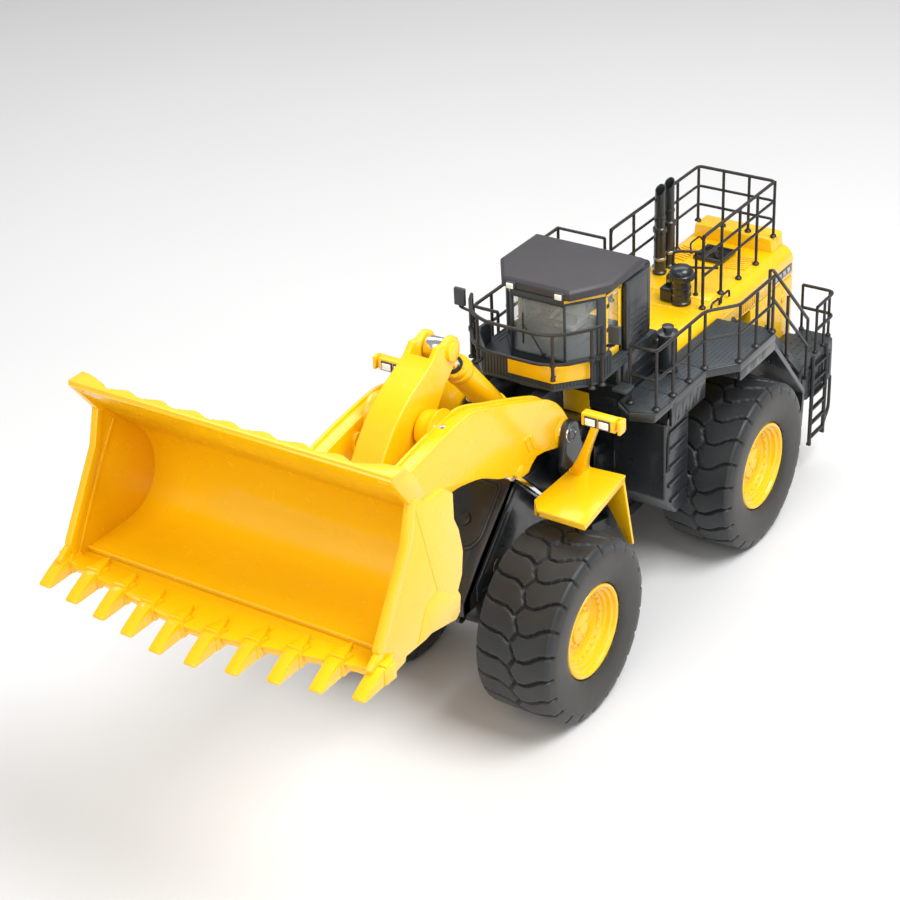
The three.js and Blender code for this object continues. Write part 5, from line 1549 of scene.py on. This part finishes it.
def add_cab_seat():
    piece = Piece("cab_seat_look", SLATE)
    piece.box(-11.8, 13.8, -6.8, 6.8, 113.4, 114.8)
    piece.box(-9, -1, -4.6, 4.6, 114.6, 119.6, bevel=0.6)
    piece.box(-9.8, 1.4, -5.4, 5.4, 119.4, 122.2, SEAT, bevel=0.9, segments=3)
    piece.prism([(-10.4, 121.8), (-7.4, 121.8), (-9.0, 133.8), (-11.6, 133.8)], -4.9, 4.9, SEAT, bevel=0.9,
            segments=3)
    piece.box(-11.4, -9.2, -2.8, 2.8, 130.6, 134.2, SEAT, bevel=0.7, segments=3)
    for side in (1, -1):
        piece.box(-7.6, 0.6, *on_side(side, 5.3, 6.7), 122.6, 124.2, SEAT, bevel=0.4)
        piece.rod((1.4, side * 6.0, 123.8), (1.8, side * 6.0, 127.2), 0.45, sides=14)
    piece.prism([(6, 114.6), (13.4, 114.6), (13.4, 120.6), (9.4, 124.0), (7.6, 123.4)], -4, 4, bevel=0.5)
    wheel = [(8 + 4.0 * math.cos(a) * 0.9, 4.0 * math.sin(a), 126 + 4.0 * math.cos(a) * 0.42)
             for a in turns(28)]
    piece.tube(wheel, 0.42, closed=True)
    for a in (0, 2.1, 4.2):
        piece.rod((8, 0, 125.6), (8 + 3.6 * math.cos(a), 4.0 * math.sin(a), 126 + 1.6 * math.cos(a)), 0.32,
              sides=8)
    piece.rod((10.4, 0, 121.4), (8, 0, 126), 0.8, sides=16)
    piece.done("rear_frame", "slate_plastic", "cab_seat")


def add_wiper():
    piece = Piece("wiper_look", RAIL)
    piece.rod((20.75, 3.4, 118.2), (21.9, 3.4, 118.2), 0.8, sides=16)
    piece.tube([(21.7, 3.4, 118.2), (22.0, -1.2, 125.4), (22.2, -5.2, 129.4)], 0.34)
    piece.prism(rect(21.9, 22.4, 121.4, 134.6), -5.6, -5.0, bevel=0.1)
    piece.done("rear_frame", "rail_black", "wiper")


def add_pillar(name, side):
    piece = Piece(f"intake_pillar_{name}_look", BLACK)
    piece.prism(rect(-26.9, -20.2, 12.2, 23.8), 113.4, 143.4, plane="xy", bevel=1.6, segments=4)
    # Tall panel that closes the rear half of the cabin's side.
    piece.box(-23.8, -5.2, 22.9, 24.9, 113.4, 142.6, bevel=0.6, segments=3)
    piece.band(rect(-22.4, -6.6, 115, 141), rect(-21.6, -7.4, 115.8, 140.2), 24.7, 25.0, plane="xz",
               bevel=0.1)
    for k in range(5):
        z = 118 + 2.2 * k
        piece.box(-20.4, -8.6, 24.7, 25.0, z, z + 1.0, bevel=0.1)
    piece.sided(side).done("rear_frame", "black_paint", f"intake_pillar_{name}")


def add_mirror(name, side):
    piece = Piece(f"mirror_{name}_look", RAIL)
    piece.box(20.8, 22.1, 32.1, 36.9, 130.6, 137.9, SLATE, bevel=0.4, segments=3)
    piece.box(20.72, 20.9, 32.7, 36.3, 131.2, 137.3, STEEL, bevel=0.05)
    piece.band(rect(32.1, 36.9, 130.6, 137.9), rect(32.7, 36.3, 131.2, 137.3), 20.6, 21.2, plane="yz",
           bevel=0.1)
    piece.tube([(19.6, 30.4, 128), (21.5, 34.5, 130), (21.5, 34.5, 132)], 0.6, corner=1)
    piece.sided(side).done("rear_frame", "slate_plastic", f"mirror_{name}")


add_pedestal()
add_platform()
add_platform_rail()
add_cab_shell()
add_cab_glass()
add_cab_roof()
add_cab_seat()
add_wiper()
for cab_name, cab_side in SIDES:
    add_pillar(cab_name, cab_side)
    add_mirror(cab_name, cab_side)


# ---------------------------------------------------------------- floor, light and camera
CAMERA_AZIMUTH = math.radians(34.493)
CAMERA_ELEVATION = math.radians(29.565)
CAMERA_ROLL = math.radians(-2.571)
CAMERA_AIM = Vector((17.63, -44.89, 60.85))
CAMERA_REACH, CAMERA_LENS = 900.0, 88.1
FLOOR_HALF = 3.0


def looking(at, azimuth, elevation, reach, roll=0.0):
    """Pose of a camera or lamp that faces a point from the given direction."""
    back = Vector((math.cos(elevation) * math.cos(azimuth), math.cos(elevation) * math.sin(azimuth),
                   math.sin(elevation)))
    right = Vector((0, 0, 1)).cross(back).normalized()
    up = back.cross(right)
    right, up = right * math.cos(roll) + up * math.sin(roll), up * math.cos(roll) - right * math.sin(roll)
    turn = Matrix((right, up, back)).transposed().to_4x4()
    where = Vector((at.x * MM + STEER_X, at.y * MM, at.z * MM)) + back * reach * MM
    return Matrix.Translation(where) @ turn


def add_floor():
    mesh = bpy.data.meshes.new("floor")
    mesh.from_pydata([(-FLOOR_HALF, -FLOOR_HALF, 0), (FLOOR_HALF, -FLOOR_HALF, 0),
                      (FLOOR_HALF, FLOOR_HALF, 0), (-FLOOR_HALF, FLOOR_HALF, 0)], [], [(0, 1, 2, 3)])
    mesh.materials.append(FLOOR)
    obj = bpy.data.objects.new("floor", mesh)
    bpy.context.scene.collection.objects.link(obj)


def add_light(name, azimuth, elevation, reach, size, watts):
    lamp = bpy.data.lights.new(name, "AREA")
    lamp.shape = "RECTANGLE"
    lamp.size, lamp.size_y = size
    lamp.energy = watts
    obj = bpy.data.objects.new(name, lamp)
    obj.matrix_world = looking(Vector((20, 0, 60)), math.radians(azimuth), math.radians(elevation), reach)
    bpy.context.scene.collection.objects.link(obj)


add_floor()
add_light("key", 95, 58, 900, (0.6, 0.45), 8.5)
add_light("fill", 5, 38, 1100, (1.0, 0.8), 6)
add_light("back", 215, 55, 1000, (1.2, 0.35), 4)

world = bpy.data.worlds.new("studio")
world.use_nodes = True
backdrop = next(n for n in world.node_tree.nodes if n.type == "BACKGROUND")
backdrop.inputs["Color"].default_value = (1, 1, 1, 1)
backdrop.inputs["Strength"].default_value = 0.40
bpy.context.scene.world = world
bpy.context.scene.view_settings.view_transform = "Standard"

camera_data = bpy.data.cameras.new("camera")
camera_data.lens = CAMERA_LENS
camera_data.sensor_width = 36.0
camera_data.clip_start, camera_data.clip_end = 0.01, 20.0
camera = bpy.data.objects.new("camera", camera_data)
camera.matrix_world = looking(CAMERA_AIM, CAMERA_AZIMUTH, CAMERA_ELEVATION, CAMERA_REACH, CAMERA_ROLL)
bpy.context.scene.collection.objects.link(camera)
bpy.context.scene.camera = camera
